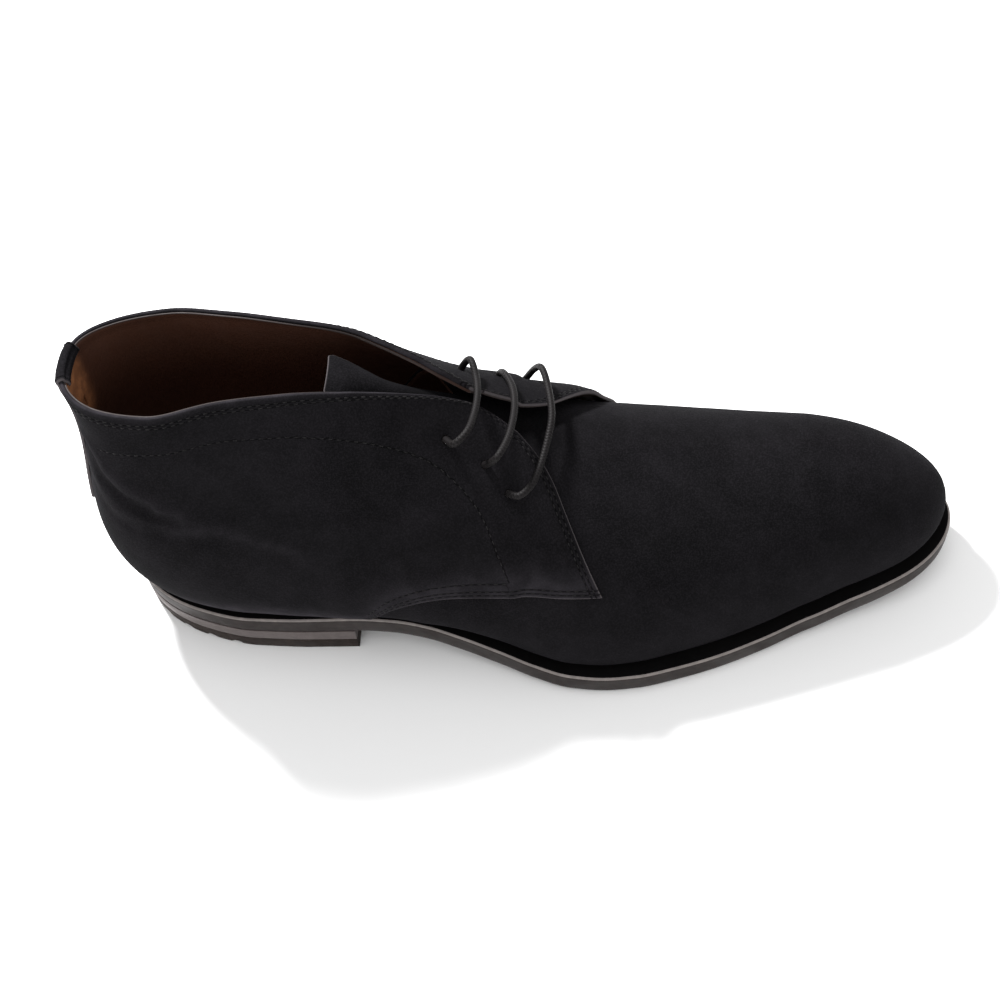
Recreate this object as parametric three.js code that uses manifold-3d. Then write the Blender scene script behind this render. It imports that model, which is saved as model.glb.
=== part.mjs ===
// Chukka boot, right foot, empty, standing on its sole.
//
// Millimetres, +Z up, toe towards +X, inner (medial) side towards +Y. While the pieces are
// made, X runs from the heel end (0) to the toe end (SHOE_LENGTH) and Z starts on the floor.
// At the end the whole boot is moved so that its origin is at the bottom centre of its box.

import * as THREE from 'three';
import { mergeVertices } from 'three/addons/utils/BufferGeometryUtils.js';
import Module from 'manifold-3d';

const wasm = await Module();
wasm.setup();

// ---------------------------------------------------------------- driving dimensions
const SHOE_LENGTH = 308.4; // heel end to toe end of the plan
const HEEL_ROUND = 50; // the plan rounds off behind this station
const TOE_ROUND = 255; // and in front of this one
const SOLE_BACK = 1.3; // the sole's rearmost point
const HEEL_BREAST = 88; // front face of the heel block

const GAP = 0.3; // clearance between neighbouring pieces
const UPPER_WALL = 1.8; // vamp leather with its lining
const QUARTER_WALL = 1.2; // overlaid quarter leather
const STRIP_WALL = 1.1; // back strip leather
const REAR_RECESS = 1.1; // the wall sits this much deeper under the quarters
const VAMP_RISE_START = 145; // and comes up to the skin between these stations
const VAMP_RISE_END = 185;
const WELT_THICK = 2.9;
const WELT_BEVEL = 0.7;
const INSOLE_RISE = 2.2; // insole top above the welt top
const INSOLE_CLEAR = 1; // the insole stands in from the upper's wall by this
const INSOLE_HEEL = 1.6; // and by this much more at the heel's end
const TOP_PIECE_THICK = 6; // rubber part of the heel
const EDGE_INSET = 0.4; // outsole and heel stand in from the welt's edge by this
const FACING_LEVEL = 0.52; // level where the inner facing begins to stand off
const FACING_FULL = 0.82; // and where it stands off fully
const SWELL_LEVELS = [0.35, 0.6, 0.7, 0.95]; // levels over which it swells up and dies away
const SLOT_END = 154; // bottom of the lacing slot
const QUARTER_END = 198; // the quarter blanks are made to here, then trimmed
const SEAM_GAP = 0.4; // between the two quarters at the back seam
const COLLAR_BLUNT = 0.7; // how much squarer the collar's back is than the sole's
const LACE_RADIUS = 1.4;
const STRIP_STATIONS = 2; // stations covered by the back strip on each side
const STRIP_LOW = 0.42; // level of its lower end, as a fraction of the rise
const STRIP_INSIDE = 0.91; // level that its folded end reaches inside
const FOLD_RISE = 1.4; // the strip's fold stands this far above the collar

// Plan of the sole: half widths each side of the X line, and the boot's own centre line.
const OUTLINE = [
  { at: 0, lateral: 34.6, medial: 35, axis: 0 },
  { at: 30, lateral: 34.9, medial: 34.9, axis: 0.2 },
  { at: 50, lateral: 36.4, medial: 34.4, axis: 0.4 },
  { at: 70, lateral: 37.3, medial: 32.7, axis: 0.8 },
  { at: 90, lateral: 37.2, medial: 28.6, axis: 1.5 },
  { at: 104, lateral: 37.6, medial: 25, axis: 2 },
  { at: 116, lateral: 39.3, medial: 23.2, axis: 2.4 },
  { at: 128, lateral: 42.5, medial: 24, axis: 2.7 },
  { at: 142, lateral: 47.1, medial: 28, axis: 3 },
  { at: 155, lateral: 52, medial: 34.2, axis: 3 },
  { at: 168, lateral: 55.6, medial: 40.8, axis: 3 },
  { at: 180, lateral: 56.4, medial: 46, axis: 3.3 },
  { at: 192, lateral: 55.4, medial: 49.4, axis: 3.6 },
  { at: 205, lateral: 52.3, medial: 50.7, axis: 4 },
  { at: 220, lateral: 47.6, medial: 49.7, axis: 5 },
  { at: 238, lateral: 40.3, medial: 46.3, axis: 6.4 },
  { at: 255, lateral: 32.4, medial: 42.8, axis: 7.8 },
  { at: 272, lateral: 27.1, medial: 40.4, axis: 8.8 },
  { at: 288, lateral: 25.6, medial: 38.6, axis: 9.3 },
  { at: SHOE_LENGTH, lateral: 25.6, medial: 37, axis: 9.5 },
];

// Side view of the sole: underside, top edge of the welt, and width of welt that shows.
const SOLE = [
  { at: 0, under: 11.2, edge: 19.8, welt: 2.4 },
  { at: 22, under: 11.2, edge: 19.7, welt: 2.3 },
  { at: 48, under: 11.2, edge: 19.6, welt: 3.3 },
  { at: 72, under: 11.4, edge: 20.1, welt: 2.2 },
  { at: HEEL_BREAST, under: 11.6, edge: 20.4, welt: 0.7 },
  { at: 112, under: 9, edge: 18.4, welt: 0.4 },
  { at: 128, under: 6, edge: 15.7, welt: 2.6 },
  { at: 142, under: 3.4, edge: 13.1, welt: 4 },
  { at: 160, under: 1, edge: 10.6, welt: 4.9 },
  { at: 180, under: 0, edge: 9.3, welt: 6 },
  { at: 215, under: 0, edge: 9.3, welt: 6.8 },
  { at: 250, under: 1.6, edge: 10.8, welt: 6.6 },
  { at: 285, under: 5.6, edge: 14.6, welt: 5.8 },
  { at: SHOE_LENGTH, under: 9.2, edge: 18, welt: 5.2 },
];

// Side view of the collar, throat and vamp ridge, and half the width left open at the top;
// the inner side springs open by "spring" more.
const TOPLINE = [
  { at: 0, top: 125.5, open: 23.5, spring: 0 },
  { at: 15, top: 124.2, open: 24, spring: 0.5 },
  { at: 35, top: 124, open: 24, spring: 1 },
  { at: 60, top: 125.4, open: 19.6, spring: 1.3 },
  { at: 80, top: 123.7, open: 16, spring: 1.9 },
  { at: 100, top: 119.2, open: 12.2, spring: 3.5 },
  { at: 110, top: 115.1, open: 9.4, spring: 3.6 },
  { at: 120, top: 110.4, open: 6.6, spring: 3.2 },
  { at: 130, top: 104.9, open: 3.8, spring: 2.1 },
  { at: 140, top: 98.8, open: 2.4, spring: 0.5 },
  { at: 150, top: 92, open: 2, spring: 0 },
  { at: SLOT_END, top: 89.2, open: 0, spring: 0 },
  { at: 175, top: 77.5, open: 0, spring: 0 },
  { at: 200, top: 69, open: 0, spring: 0 },
  { at: 230, top: 63, open: 0, spring: 0 },
  { at: 260, top: 59.8, open: 0, spring: 0 },
  { at: 285, top: 57.9, open: 0, spring: 0 },
  { at: SHOE_LENGTH, top: 55.3, open: 0, spring: 0 },
];

// Shape of each rib from welt to top: it leaves the welt flared outwards by "flare" degrees
// with a pull of "low", and arrives at the top sloping "lean" degrees with a pull of "high".
const RIBS = [
  { at: 0, flare: 28, low: 40, lean: 86, high: 34 },
  { at: 50, flare: 25, low: 40, lean: 84, high: 36 },
  { at: 90, flare: 28, low: 36, lean: 72, high: 38 },
  { at: 120, flare: 32, low: 30, lean: 44, high: 38 },
  { at: 140, flare: 32, low: 28, lean: 24, high: 38 },
  { at: 160, flare: 30, low: 26, lean: 6, high: 32 },
  { at: 200, flare: 28, low: 24, lean: 0, high: 28 },
  { at: 240, flare: 27, low: 22, lean: 0, high: 28 },
  { at: 270, flare: 28, low: 20, lean: 0, high: 26 },
  { at: SHOE_LENGTH, flare: 24, low: 18, lean: 0, high: 20 },
];
const HEEL_CURVE = { foot: 5.5, top: 5, flare: 30.5, lean: 104 };
const TOE_CURVE = { foot: 303, top: 276, flare: 25.5, lean: 17 };

// Edges of the quarters, as stations and levels (0 at the welt, 1 at the top of a rib). The
// front edge runs from the slot's top down and forward to the corner, and the lower edge runs
// back from the corner to the welt just in front of the heel.
const QUARTER_FRONT = {
  lateral: [
    { at: 138, level: 1 }, { at: 142, level: 0.993 }, { at: 149, level: 0.972 },
    { at: 155, level: 0.92 }, { at: 160, level: 0.868 }, { at: 164.6, level: 0.8 },
    { at: 169, level: 0.7 }, { at: 174.5, level: 0.57 }, { at: 180.5, level: 0.435 },
  ],
  medial: [
    { at: 138, level: 1 }, { at: 144, level: 0.995 }, { at: 153, level: 0.975 },
    { at: 162, level: 0.93 }, { at: 168.5, level: 0.865 }, { at: 174, level: 0.8 },
    { at: 179.5, level: 0.725 }, { at: 182.5, level: 0.64 }, { at: 185, level: 0.53 },
    { at: 186.5, level: 0.435 },
  ],
};
const QUARTER_LOWER = [
  { at: 165, level: 0.422 },
  { at: 147, level: 0.394 },
  { at: 132.5, level: 0.349 },
  { at: 117, level: 0.283 },
  { at: 105, level: 0.175 },
  { at: 98, level: 0.06 },
  { at: 94, level: 0 },
];

// How far the inner quarter's facing stands off the foot at its edge, and swells below it.
const FACING = [
  { at: 96, lift: 0, swell: 0 },
  { at: 112, lift: 0, swell: 0.5 },
  { at: 130, lift: 0.5, swell: 1.3 },
  { at: 146, lift: 1.4, swell: 1.7 },
  { at: 160, lift: 2.8, swell: 1.7 },
  { at: 170, lift: 3.9, swell: 1.6 },
  { at: 177, lift: 3.4, swell: 1 },
  { at: 183, lift: 1, swell: 0.2 },
  { at: 190, lift: 0, swell: 0 },
];

// Tongue: how deep its crown lies under the collar line, half width, and drop of its edges.
const TONGUE_END = 91.5; // its end inside the collar
const TONGUE_TOE = 162; // and its end under the vamp
const TONGUE = [
  { at: 91, sunk: 4.4, half: 9.2, drop: 2 },
  { at: 97, sunk: 5.4, half: 8.2, drop: 2.6 },
  { at: 103, sunk: 6.6, half: 7.2, drop: 4 },
  { at: 111, sunk: 7.6, half: 6.6, drop: 6.6 },
  { at: 120, sunk: 8.2, half: 7.6, drop: 7.6 },
  { at: 130, sunk: 8, half: 10, drop: 8 },
  { at: 140, sunk: 7.2, half: 13, drop: 8 },
  { at: 150, sunk: 6.2, half: 15.5, drop: 8 },
  { at: TONGUE_TOE, sunk: 5.6, half: 17, drop: 8.5 },
];
const TONGUE_WALL = 1.8;

// Lace crossings, from the outer eyelet up over the slot to the inner eyelet.
const LACE_BARS = [
  [[131.5, -14, 97.7], [133.8, -17, 100], [137.8, -14, 102.2], [139.8, -6, 101.4], [140.6, 3, 101.6],
    [139.8, 10, 101.6], [137.5, 17, 102], [133.3, 18.7, 97.6]],
  [[144, -17.5, 89.9], [147.6, -20, 96], [150.5, -14, 96.4], [152.2, -6, 96.2], [152.6, 3, 95.5],
    [151.4, 12, 95.5], [149, 17.5, 95], [145.9, 21.1, 90.7]],
  [[152.3, -24.3, 80], [154.2, -25, 81.2], [158, -22, 82.7], [161, -14, 83.6], [163.5, -5, 86],
    [164.7, 3, 88.2], [163.3, 14, 89.8], [160.6, 22.8, 90], [154.2, 28.4, 81.2]],
];

// ---------------------------------------------------------------- smooth columns
// Value of one column anywhere along a table: a cubic through the rows that never overshoots.
function along(rows, column) {
  const x = rows.map((row) => row.at);
  const y = rows.map((row) => row[column]);
  const step = x.slice(1).map((value, i) => value - x[i]);
  const rise = step.map((width, i) => (y[i + 1] - y[i]) / width);
  const slope = y.map((_, i) => {
    if (i === 0) return rise[0];
    if (i === y.length - 1) return rise[i - 1];
    if (rise[i - 1] * rise[i] <= 0) return 0;
    const before = 2 * step[i] + step[i - 1];
    const after = step[i] + 2 * step[i - 1];
    return (before + after) / (before / rise[i - 1] + after / rise[i]);
  });
  return (at) => {
    const here = Math.min(Math.max(at, x[0]), x[x.length - 1]);
    let i = 0;
    while (i < step.length - 1 && here > x[i + 1]) i += 1;
    const t = (here - x[i]) / step[i];
    return (1 + 2 * t) * (1 - t) ** 2 * y[i] + t * (1 - t) ** 2 * step[i] * slope[i]
      + t * t * (3 - 2 * t) * y[i + 1] + t * t * (t - 1) * step[i] * slope[i + 1];
  };
}

function columns(rows) {
  const names = Object.keys(rows[0]).filter((name) => name !== 'at');
  return Object.fromEntries(names.map((name) => [name, along(rows, name)]));
}

const outline = columns(OUTLINE);
const sole = columns(SOLE);
const topline = columns(TOPLINE);
const ribs = columns(RIBS);
const tongueShape = columns(TONGUE);
const facing = columns(FACING);

// ---------------------------------------------------------------- the last's surface
const RADIANS = Math.PI / 180;
const HEEL_SHARE = 0.2; // share of the belt parameter spent on the heel's rounding
const TOE_SHARE = 0.8; // and where the toe's rounding begins

// Station for a belt parameter from 0 (back of heel) to 1 (toe tip), stepping by angle at the
// rounded ends, so that points crowd where the plan turns.
function stationAt(t) {
  if (t < HEEL_SHARE) return HEEL_ROUND * (1 - Math.cos((Math.PI / 2) * (t / HEEL_SHARE)));
  if (t > TOE_SHARE) {
    const turn = (Math.PI / 2) * ((t - TOE_SHARE) / (1 - TOE_SHARE));
    return TOE_ROUND + (SHOE_LENGTH - TOE_ROUND) * Math.sin(turn);
  }
  return HEEL_ROUND + ((t - HEEL_SHARE) / (TOE_SHARE - HEEL_SHARE)) * (TOE_ROUND - HEEL_ROUND);
}

function beltAt(station) {
  if (station < HEEL_ROUND) {
    return (HEEL_SHARE * Math.acos(1 - station / HEEL_ROUND)) / (Math.PI / 2);
  }
  if (station > TOE_ROUND) {
    const turn = Math.asin((station - TOE_ROUND) / (SHOE_LENGTH - TOE_ROUND));
    return TOE_SHARE + ((1 - TOE_SHARE) * turn) / (Math.PI / 2);
  }
  const share = (station - HEEL_ROUND) / (TOE_ROUND - HEEL_ROUND);
  return HEEL_SHARE + share * (TOE_SHARE - HEEL_SHARE);
}

// How far round the heel and the toe a station lies, each 0 on the sides and 1 at the end.
function ends(station) {
  return {
    heel: Math.min(Math.max((HEEL_ROUND - station) / HEEL_ROUND, 0), 1),
    toe: Math.min(Math.max((station - TOE_ROUND) / (SHOE_LENGTH - TOE_ROUND), 0), 1),
  };
}

function halfWidth(station, side) {
  const axis = outline.axis(station);
  return side < 0 ? outline.lateral(station) + axis : outline.medial(station) - axis;
}

// A point of the sole's plan, drawn in from its edge by "inset".
function planPoint(station, side, inset) {
  const { heel, toe } = ends(station);
  const round = Math.sqrt(1 - heel ** 2) * Math.sqrt(1 - toe ** 2);
  const axis = outline.axis(station);
  let x = station;
  if (heel > 0) x = HEEL_ROUND - (HEEL_ROUND - SOLE_BACK - inset) * heel;
  if (toe > 0) x = TOE_ROUND + (SHOE_LENGTH - inset - TOE_ROUND) * toe;
  return [x, axis + side * (halfWidth(station, side) - inset) * round];
}

function cubic(a, b, c, d, t) {
  const s = 1 - t;
  return s ** 3 * a + 3 * s * s * t * b + 3 * s * t * t * c + t ** 3 * d;
}

// Outer skin of the boot: station along it, level from 0 (welt) to 1 (top), and side -1 or 1.
function skin(station, level, side) {
  const { heel, toe } = ends(station);
  const blunt = 2 + COLLAR_BLUNT * level;
  const round = (1 - heel ** blunt) ** (1 / blunt) * Math.sqrt(1 - toe ** 2);
  const flare = ribs.flare(station) * RADIANS;
  const lean = (ribs.lean(station) + toe * TOE_CURVE.lean) * RADIANS;
  const low = ribs.low(station);
  const high = ribs.high(station);
  const foot = halfWidth(station, side) - sole.welt(station);
  const open = topline.open(station) + (side > 0 ? topline.spring(station) : 0);
  const floor = sole.edge(station) + GAP;
  const top = topline.top(station);
  const out = cubic(foot, foot + low * Math.sin(flare), open + high * Math.cos(lean), open, level);
  const z = cubic(floor, floor + low * Math.cos(flare), top - high * Math.sin(lean), top, level);
  const end = (curve, away) => cubic(
    curve.foot,
    curve.foot + away * low * Math.sin(curve.flare * RADIANS),
    curve.top + away * high * Math.cos(curve.lean * RADIANS),
    curve.top,
    level,
  );
  let x = station;
  if (heel > 0) x = HEEL_ROUND - (HEEL_ROUND - end(HEEL_CURVE, -1)) * heel;
  if (toe > 0) x = TOE_ROUND + (end(TOE_CURVE, 1) - TOE_ROUND) * toe;
  return new THREE.Vector3(x, outline.axis(station) + side * out * round, z);
}

const isClosed = (station) => station > SLOT_END - 1e-6;

// The skin moved outwards by "out" along its normal (inwards when negative). At the welt the
// move is level, and on the centre line it stays in the centre plane, so both sides meet.
function offsetSkin(belt, level, side, out) {
  const small = 1e-4;
  const inside = Math.min(level, 1 - 1e-3);
  const at = (t, v) => skin(stationAt(Math.min(Math.max(t, 0), 1)), Math.min(Math.max(v, 0), 1), side);
  const alongBelt = at(belt + small, inside).sub(at(belt - small, inside));
  const upRib = at(belt, inside + small).sub(at(belt, inside - small));
  const station = stationAt(belt);
  let normal = alongBelt.cross(upRib).multiplyScalar(-side);
  if (level === 0) normal.z = 0;
  if (belt === 0 || belt === 1) normal.y = 0;
  if (level === 1 && isClosed(station)) {
    const ridge = at(belt + small, 1).sub(at(belt - small, 1));
    normal = new THREE.Vector3(-ridge.z, 0, ridge.x);
  }
  return skin(station, level, side).add(normal.normalize().multiplyScalar(out));
}

// Rises smoothly from 0 at "low" to 1 at "high".
function ramp(value, low, high) {
  const t = Math.min(Math.max((value - low) / (high - low), 0), 1);
  return t * t * (3 - 2 * t);
}

// The hollow wall lies deeper under the quarters and comes up to the skin in the vamp.
const recess = (station) => REAR_RECESS * (1 - ramp(station, VAMP_RISE_START, VAMP_RISE_END));

// ---------------------------------------------------------------- closed meshes
// Collects four-sided patches and closes them into one body with its faces pointing out.
class Patches {
  corners = [];

  quad(a, b, c, d) {
    for (const triangle of [[a, b, c], [a, c, d]]) {
      const [p, q, r] = triangle;
      if (p.distanceTo(q) > 0 && q.distanceTo(r) > 0 && r.distanceTo(p) > 0) {
        for (const point of triangle) this.corners.push(point.x, point.y, point.z);
      }
    }
  }

  // A sheet of patches over a grid of points.
  sheet(grid, flip = false) {
    for (let i = 0; i < grid.length - 1; i += 1) {
      for (let j = 0; j < grid[i].length - 1; j += 1) {
        const [a, b, c, d] = [grid[i][j], grid[i + 1][j], grid[i + 1][j + 1], grid[i][j + 1]];
        if (flip) this.quad(d, c, b, a);
        else this.quad(a, b, c, d);
      }
    }
  }

  geometry() {
    const soup = new THREE.BufferGeometry();
    soup.setAttribute('position', new THREE.Float32BufferAttribute(this.corners, 3));
    const merged = mergeVertices(soup);
    if (volume(merged) < 0) {
      const index = merged.index.array;
      for (let i = 0; i < index.length; i += 3) {
        [index[i + 1], index[i + 2]] = [index[i + 2], index[i + 1]];
      }
    }
    merged.computeVertexNormals();
    return merged;
  }
}

function volume(geometry) {
  const position = geometry.attributes.position;
  const index = geometry.index.array;
  const corner = (i) => new THREE.Vector3().fromBufferAttribute(position, index[i]);
  let sum = 0;
  for (let i = 0; i < index.length; i += 3) {
    sum += corner(i).dot(corner(i + 1).cross(corner(i + 2)));
  }
  return sum;
}

// A loop of points at each step, joined into a closed tube: open-ended loops get flat caps.
function tubeOfLoops(loops) {
  const patches = new Patches();
  const ring = (loop) => [...loop, loop[0]];
  patches.sheet(loops.map(ring));
  for (const [loop, flip] of [[loops[0], true], [loops[loops.length - 1], false]]) {
    const half = loop.length / 2;
    const back = loop.slice(half).reverse();
    patches.sheet([loop.slice(0, half), back], flip);
  }
  return patches.geometry();
}

function solidOf(geometry) {
  const bare = geometry.clone();
  bare.deleteAttribute('normal');
  bare.deleteAttribute('uv');
  const merged = mergeVertices(bare, 1e-4);
  const mesh = new wasm.Mesh({
    numProp: 3,
    vertProperties: new Float32Array(merged.attributes.position.array),
    triVerts: new Uint32Array(merged.index.array),
  });
  return new wasm.Manifold(mesh);
}

function geometryOf(solid) {
  const mesh = solid.getMesh();
  const geometry = new THREE.BufferGeometry();
  geometry.setAttribute('position', new THREE.BufferAttribute(mesh.vertProperties, 3));
  geometry.setIndex(new THREE.BufferAttribute(mesh.triVerts, 1));
  geometry.computeVertexNormals();
  return geometry;
}

// ---------------------------------------------------------------- stations and levels
const span = (from, to, count) => Array.from({ length: count + 1 }, (_, i) => from + ((to - from) * i) / count);

const LEVELS = span(0, 1, 12);
const HEEL_BELTS = [0, 0.5, 1, 2, 3, 4, 5, 6, 7, 8].map((eighth) => (HEEL_SHARE * eighth) / 8);
const REAR_BELTS = span(HEEL_SHARE, beltAt(SLOT_END), 12);
const VAMP_BELTS = span(beltAt(SLOT_END), TOE_SHARE, 9);
const TOE_BELTS = span(TOE_SHARE, 1, 8);
const BELTS = [...HEEL_BELTS, ...REAR_BELTS.slice(1), ...VAMP_BELTS.slice(1), ...TOE_BELTS.slice(1)];
const QUARTER_BELTS = BELTS.filter((belt) => stationAt(belt) <= QUARTER_END);

// ---------------------------------------------------------------- sole pieces
// A slab between two heights over the sole's plan, from one station to another, with its
// lower and upper rims drawn in from the sole's edge by their own amounts.
function slab({ belts = BELTS, low, high, insetLow, insetHigh }) {
  const loops = belts.map((belt) => {
    const station = stationAt(belt);
    const point = (side, inset, z) => {
      const [x, y] = planPoint(station, side, inset(station));
      return new THREE.Vector3(x, y, z(station));
    };
    return [
      point(-1, insetLow, low), point(1, insetLow, low),
      point(1, insetHigh, high), point(-1, insetHigh, high),
    ];
  });
  return tubeOfLoops(loops);
}

function makeOutsole() {
  return slab({
    low: sole.under,
    high: (station) => sole.edge(station) - WELT_THICK - GAP,
    insetLow: () => 2 * EDGE_INSET,
    insetHigh: () => EDGE_INSET,
  });
}

// The welt is a ring all round, with a bevel on its top outer corner.
function makeWelt() {
  const section = (belt, side) => {
    const station = stationAt(belt);
    const top = sole.edge(station);
    const inner = sole.welt(station) + recess(station) + UPPER_WALL + 0.6;
    const point = (inset, z) => {
      const [x, y] = planPoint(station, side, inset);
      return new THREE.Vector3(x, y, z);
    };
    return [
      point(0, top - WELT_THICK), point(0, top - WELT_BEVEL), point(WELT_BEVEL, top),
      point(inner, top), point(inner, top - WELT_THICK), point(0, top - WELT_THICK),
    ];
  };
  const patches = new Patches();
  const lateral = BELTS.map((belt) => section(belt, -1));
  const medial = BELTS.map((belt) => section(belt, 1)).reverse();
  patches.sheet([...lateral, ...medial.slice(1)]);
  return patches.geometry();
}

const HEEL_BLOCK_BELTS = [...HEEL_BELTS, ...span(HEEL_SHARE, beltAt(HEEL_BREAST), 3).slice(1)];

function makeHeelLift() {
  return slab({
    belts: HEEL_BLOCK_BELTS,
    low: () => TOP_PIECE_THICK + GAP,
    high: (station) => sole.under(station) - GAP,
    insetLow: () => EDGE_INSET,
    insetHigh: () => EDGE_INSET,
  });
}

// The rubber top piece has shallow grooves across its rear, which show as notches.
function makeHeelTopPiece() {
  const block = slab({
    belts: HEEL_BLOCK_BELTS,
    low: () => 0,
    high: () => TOP_PIECE_THICK,
    insetLow: () => EDGE_INSET,
    insetHigh: () => EDGE_INSET,
  });
  const groove = { width: 2.6, depth: 1.1, length: 16, centreX: 42, reach: 33 };
  let solid = solidOf(block);
  for (const degrees of [118, 138, 158, 180, 202, 222, 242]) {
    const bar = new THREE.BoxGeometry(groove.length, groove.width, 2 * groove.depth);
    const turn = degrees * RADIANS;
    bar.rotateZ(turn);
    bar.translate(groove.centreX + groove.reach * Math.cos(turn), groove.reach * Math.sin(turn), 0);
    solid = solid.subtract(solidOf(bar));
  }
  return geometryOf(solid);
}

function makeInsole() {
  const inset = (station) => (
    sole.welt(station) + recess(station) + UPPER_WALL + INSOLE_CLEAR + INSOLE_HEEL * ends(station).heel);
  return slab({
    low: (station) => sole.edge(station) - WELT_THICK,
    high: (station) => sole.edge(station) + INSOLE_RISE,
    insetLow: inset,
    insetHigh: inset,
  });
}

// ---------------------------------------------------------------- upper pieces
const gridOf = (belts, levels, point) => belts.map((belt) => levels.map((level) => point(belt, level)));

// One hollow wall over the whole last: open underneath, at the collar and down the slot.
function makeUpper() {
  const patches = new Patches();
  for (const side of [-1, 1]) {
    const flip = side > 0;
    const surface = (out) => gridOf(BELTS, LEVELS, (belt, level) => (
      offsetSkin(belt, level, side, out - recess(stationAt(belt)))));
    const outer = surface(0);
    const inner = surface(-UPPER_WALL);
    patches.sheet(outer, flip);
    patches.sheet(inner, !flip);
    patches.sheet([outer.map((rib) => rib[0]), inner.map((rib) => rib[0])], flip);
    const openRibs = BELTS.filter((belt) => !isClosed(stationAt(belt))).length + 1;
    const last = LEVELS.length - 1;
    const rim = (grid) => grid.slice(0, openRibs).map((rib) => rib[last]);
    patches.sheet([rim(outer), rim(inner)], !flip);
  }
  return patches.geometry();
}

// A point of a quarter, "out" from the hollow wall's outer face.
function quarterPoint(belt, level, side, out) {
  const station = stationAt(belt);
  const [start, full, fade, end] = SWELL_LEVELS;
  const swell = facing.swell(station) * ramp(level, start, full) * (1 - ramp(level, fade, end));
  const lift = facing.lift(station) * ramp(level, FACING_LEVEL, FACING_FULL) + swell;
  return offsetSkin(belt, level, side, out + (side > 0 ? lift : 0) - recess(station));
}

// A quarter: a second leather over the wall, cut to its side view between two larger forms.
function makeQuarter(side) {
  const clear = (belt, level, out) => {
    const point = quarterPoint(belt, level, side, out);
    if (belt === 0) point.y = (side * SEAM_GAP) / 2;
    return point;
  };
  const surface = (out) => gridOf(QUARTER_BELTS, LEVELS, (belt, level) => clear(belt, level, out));
  const outer = surface(GAP + QUARTER_WALL);
  const inner = surface(GAP);
  const patches = new Patches();
  patches.sheet(outer);
  patches.sheet(inner, true);
  const edgeOf = (grid) => [
    ...grid.map((rib) => rib[0]),
    ...grid[grid.length - 1].slice(1),
    ...grid.map((rib) => rib[rib.length - 1]).reverse().slice(1),
    ...grid[0].slice(0, -1).reverse(),
  ];
  patches.sheet([edgeOf(outer), edgeOf(inner)], false);
  const blank = solidOf(patches.geometry());

  const middle = GAP + QUARTER_WALL / 2;
  const inSideView = ({ at, level }) => {
    const { x, z } = quarterPoint(beltAt(at), level, side, middle);
    return new THREE.Vector2(x, z);
  };
  const front = QUARTER_FRONT[side < 0 ? 'lateral' : 'medial'].map(inSideView);
  const lower = QUARTER_LOWER.map(inSideView);
  const back = -30;
  const above = 160;
  const sideView = new THREE.Shape();
  sideView.moveTo(front[0].x, above);
  sideView.lineTo(front[0].x, front[0].y);
  sideView.splineThru(front.slice(1));
  sideView.splineThru(lower);
  sideView.lineTo(HEEL_BREAST, 0);
  sideView.lineTo(back, 0);
  sideView.lineTo(back, above);
  sideView.closePath();
  const depth = 90;
  const cutter = new THREE.ExtrudeGeometry(sideView, { depth, bevelEnabled: false, curveSegments: 6 });
  cutter.rotateX(Math.PI / 2);
  cutter.translate(0, side > 0 ? depth : 20, 0);
  return geometryOf(blank.intersect(solidOf(cutter)));
}

// The back strip covers the seam, folds over the collar and ends inside.
function makeBackStrip() {
  const under = GAP + QUARTER_WALL + GAP;
  const over = under + STRIP_WALL;
  const hidden = -UPPER_WALL - GAP;
  const outsideLevels = span(STRIP_LOW, 1, 6);
  const insideLevels = span(1, STRIP_INSIDE, 1);
  const sections = [];
  for (let k = -STRIP_STATIONS; k <= STRIP_STATIONS; k += 1) {
    const side = k < 0 ? -1 : 1;
    const belt = HEEL_BELTS[Math.abs(k)];
    const point = (level, out, rise = 0) => {
      const place = offsetSkin(belt, level, side, out - recess(stationAt(belt)));
      place.z += rise;
      return place;
    };
    sections.push([
      ...outsideLevels.map((level) => point(level, over)),
      point(1, over, FOLD_RISE),
      point(1, hidden - STRIP_WALL, FOLD_RISE),
      ...insideLevels.map((level) => point(level, hidden - STRIP_WALL)),
      ...insideLevels.slice().reverse().map((level) => point(level, hidden)),
      point(1, hidden, GAP),
      point(1, under, GAP),
      ...outsideLevels.slice().reverse().map((level) => point(level, under)),
    ]);
  }
  return tubeOfLoops(sections);
}

// The tongue lies under the slot and stands a little way into the collar.
function makeTongue() {
  const across = span(-1, 1, 8);
  const stations = span(TONGUE_END, TONGUE_TOE, 10);
  const loops = stations.map((station) => {
    const axis = outline.axis(station);
    const crown = topline.top(station) - tongueShape.sunk(station);
    const point = (t, lower) => new THREE.Vector3(
      station,
      axis + t * tongueShape.half(station),
      crown - tongueShape.drop(station) * t * t - lower,
    );
    return [
      ...across.map((t) => point(t, 0)),
      ...across.slice().reverse().map((t) => point(t, TONGUE_WALL)),
    ];
  });
  return tubeOfLoops(loops);
}

function makeLaceBar(points) {
  const path = new THREE.CatmullRomCurve3(points.map((point) => new THREE.Vector3(...point)));
  const section = new THREE.Shape();
  section.absarc(0, 0, LACE_RADIUS, 0, 2 * Math.PI);
  return new THREE.ExtrudeGeometry(section, { steps: 22, curveSegments: 4, extrudePath: path });
}

// ---------------------------------------------------------------- materials and assembly
const finish = (color, roughness) => new THREE.MeshStandardMaterial({ color, roughness, metalness: 0 });
const SUEDE = finish(0x14151c, 0.95);
const LINING = finish(0x5a3220, 0.7);
const SOLE_LEATHER = finish(0x2b2624, 0.5);
const STACKED_LIFT = finish(0x6f6660, 0.6);
const HEEL_RUBBER = finish(0x241c18, 0.75);
const LACE = finish(0x1b1b1f, 0.8);

const shoe = new THREE.Group();

function add(name, geometry, material) {
  const mesh = new THREE.Mesh(geometry, material);
  mesh.name = name;
  shoe.add(mesh);
}

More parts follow.
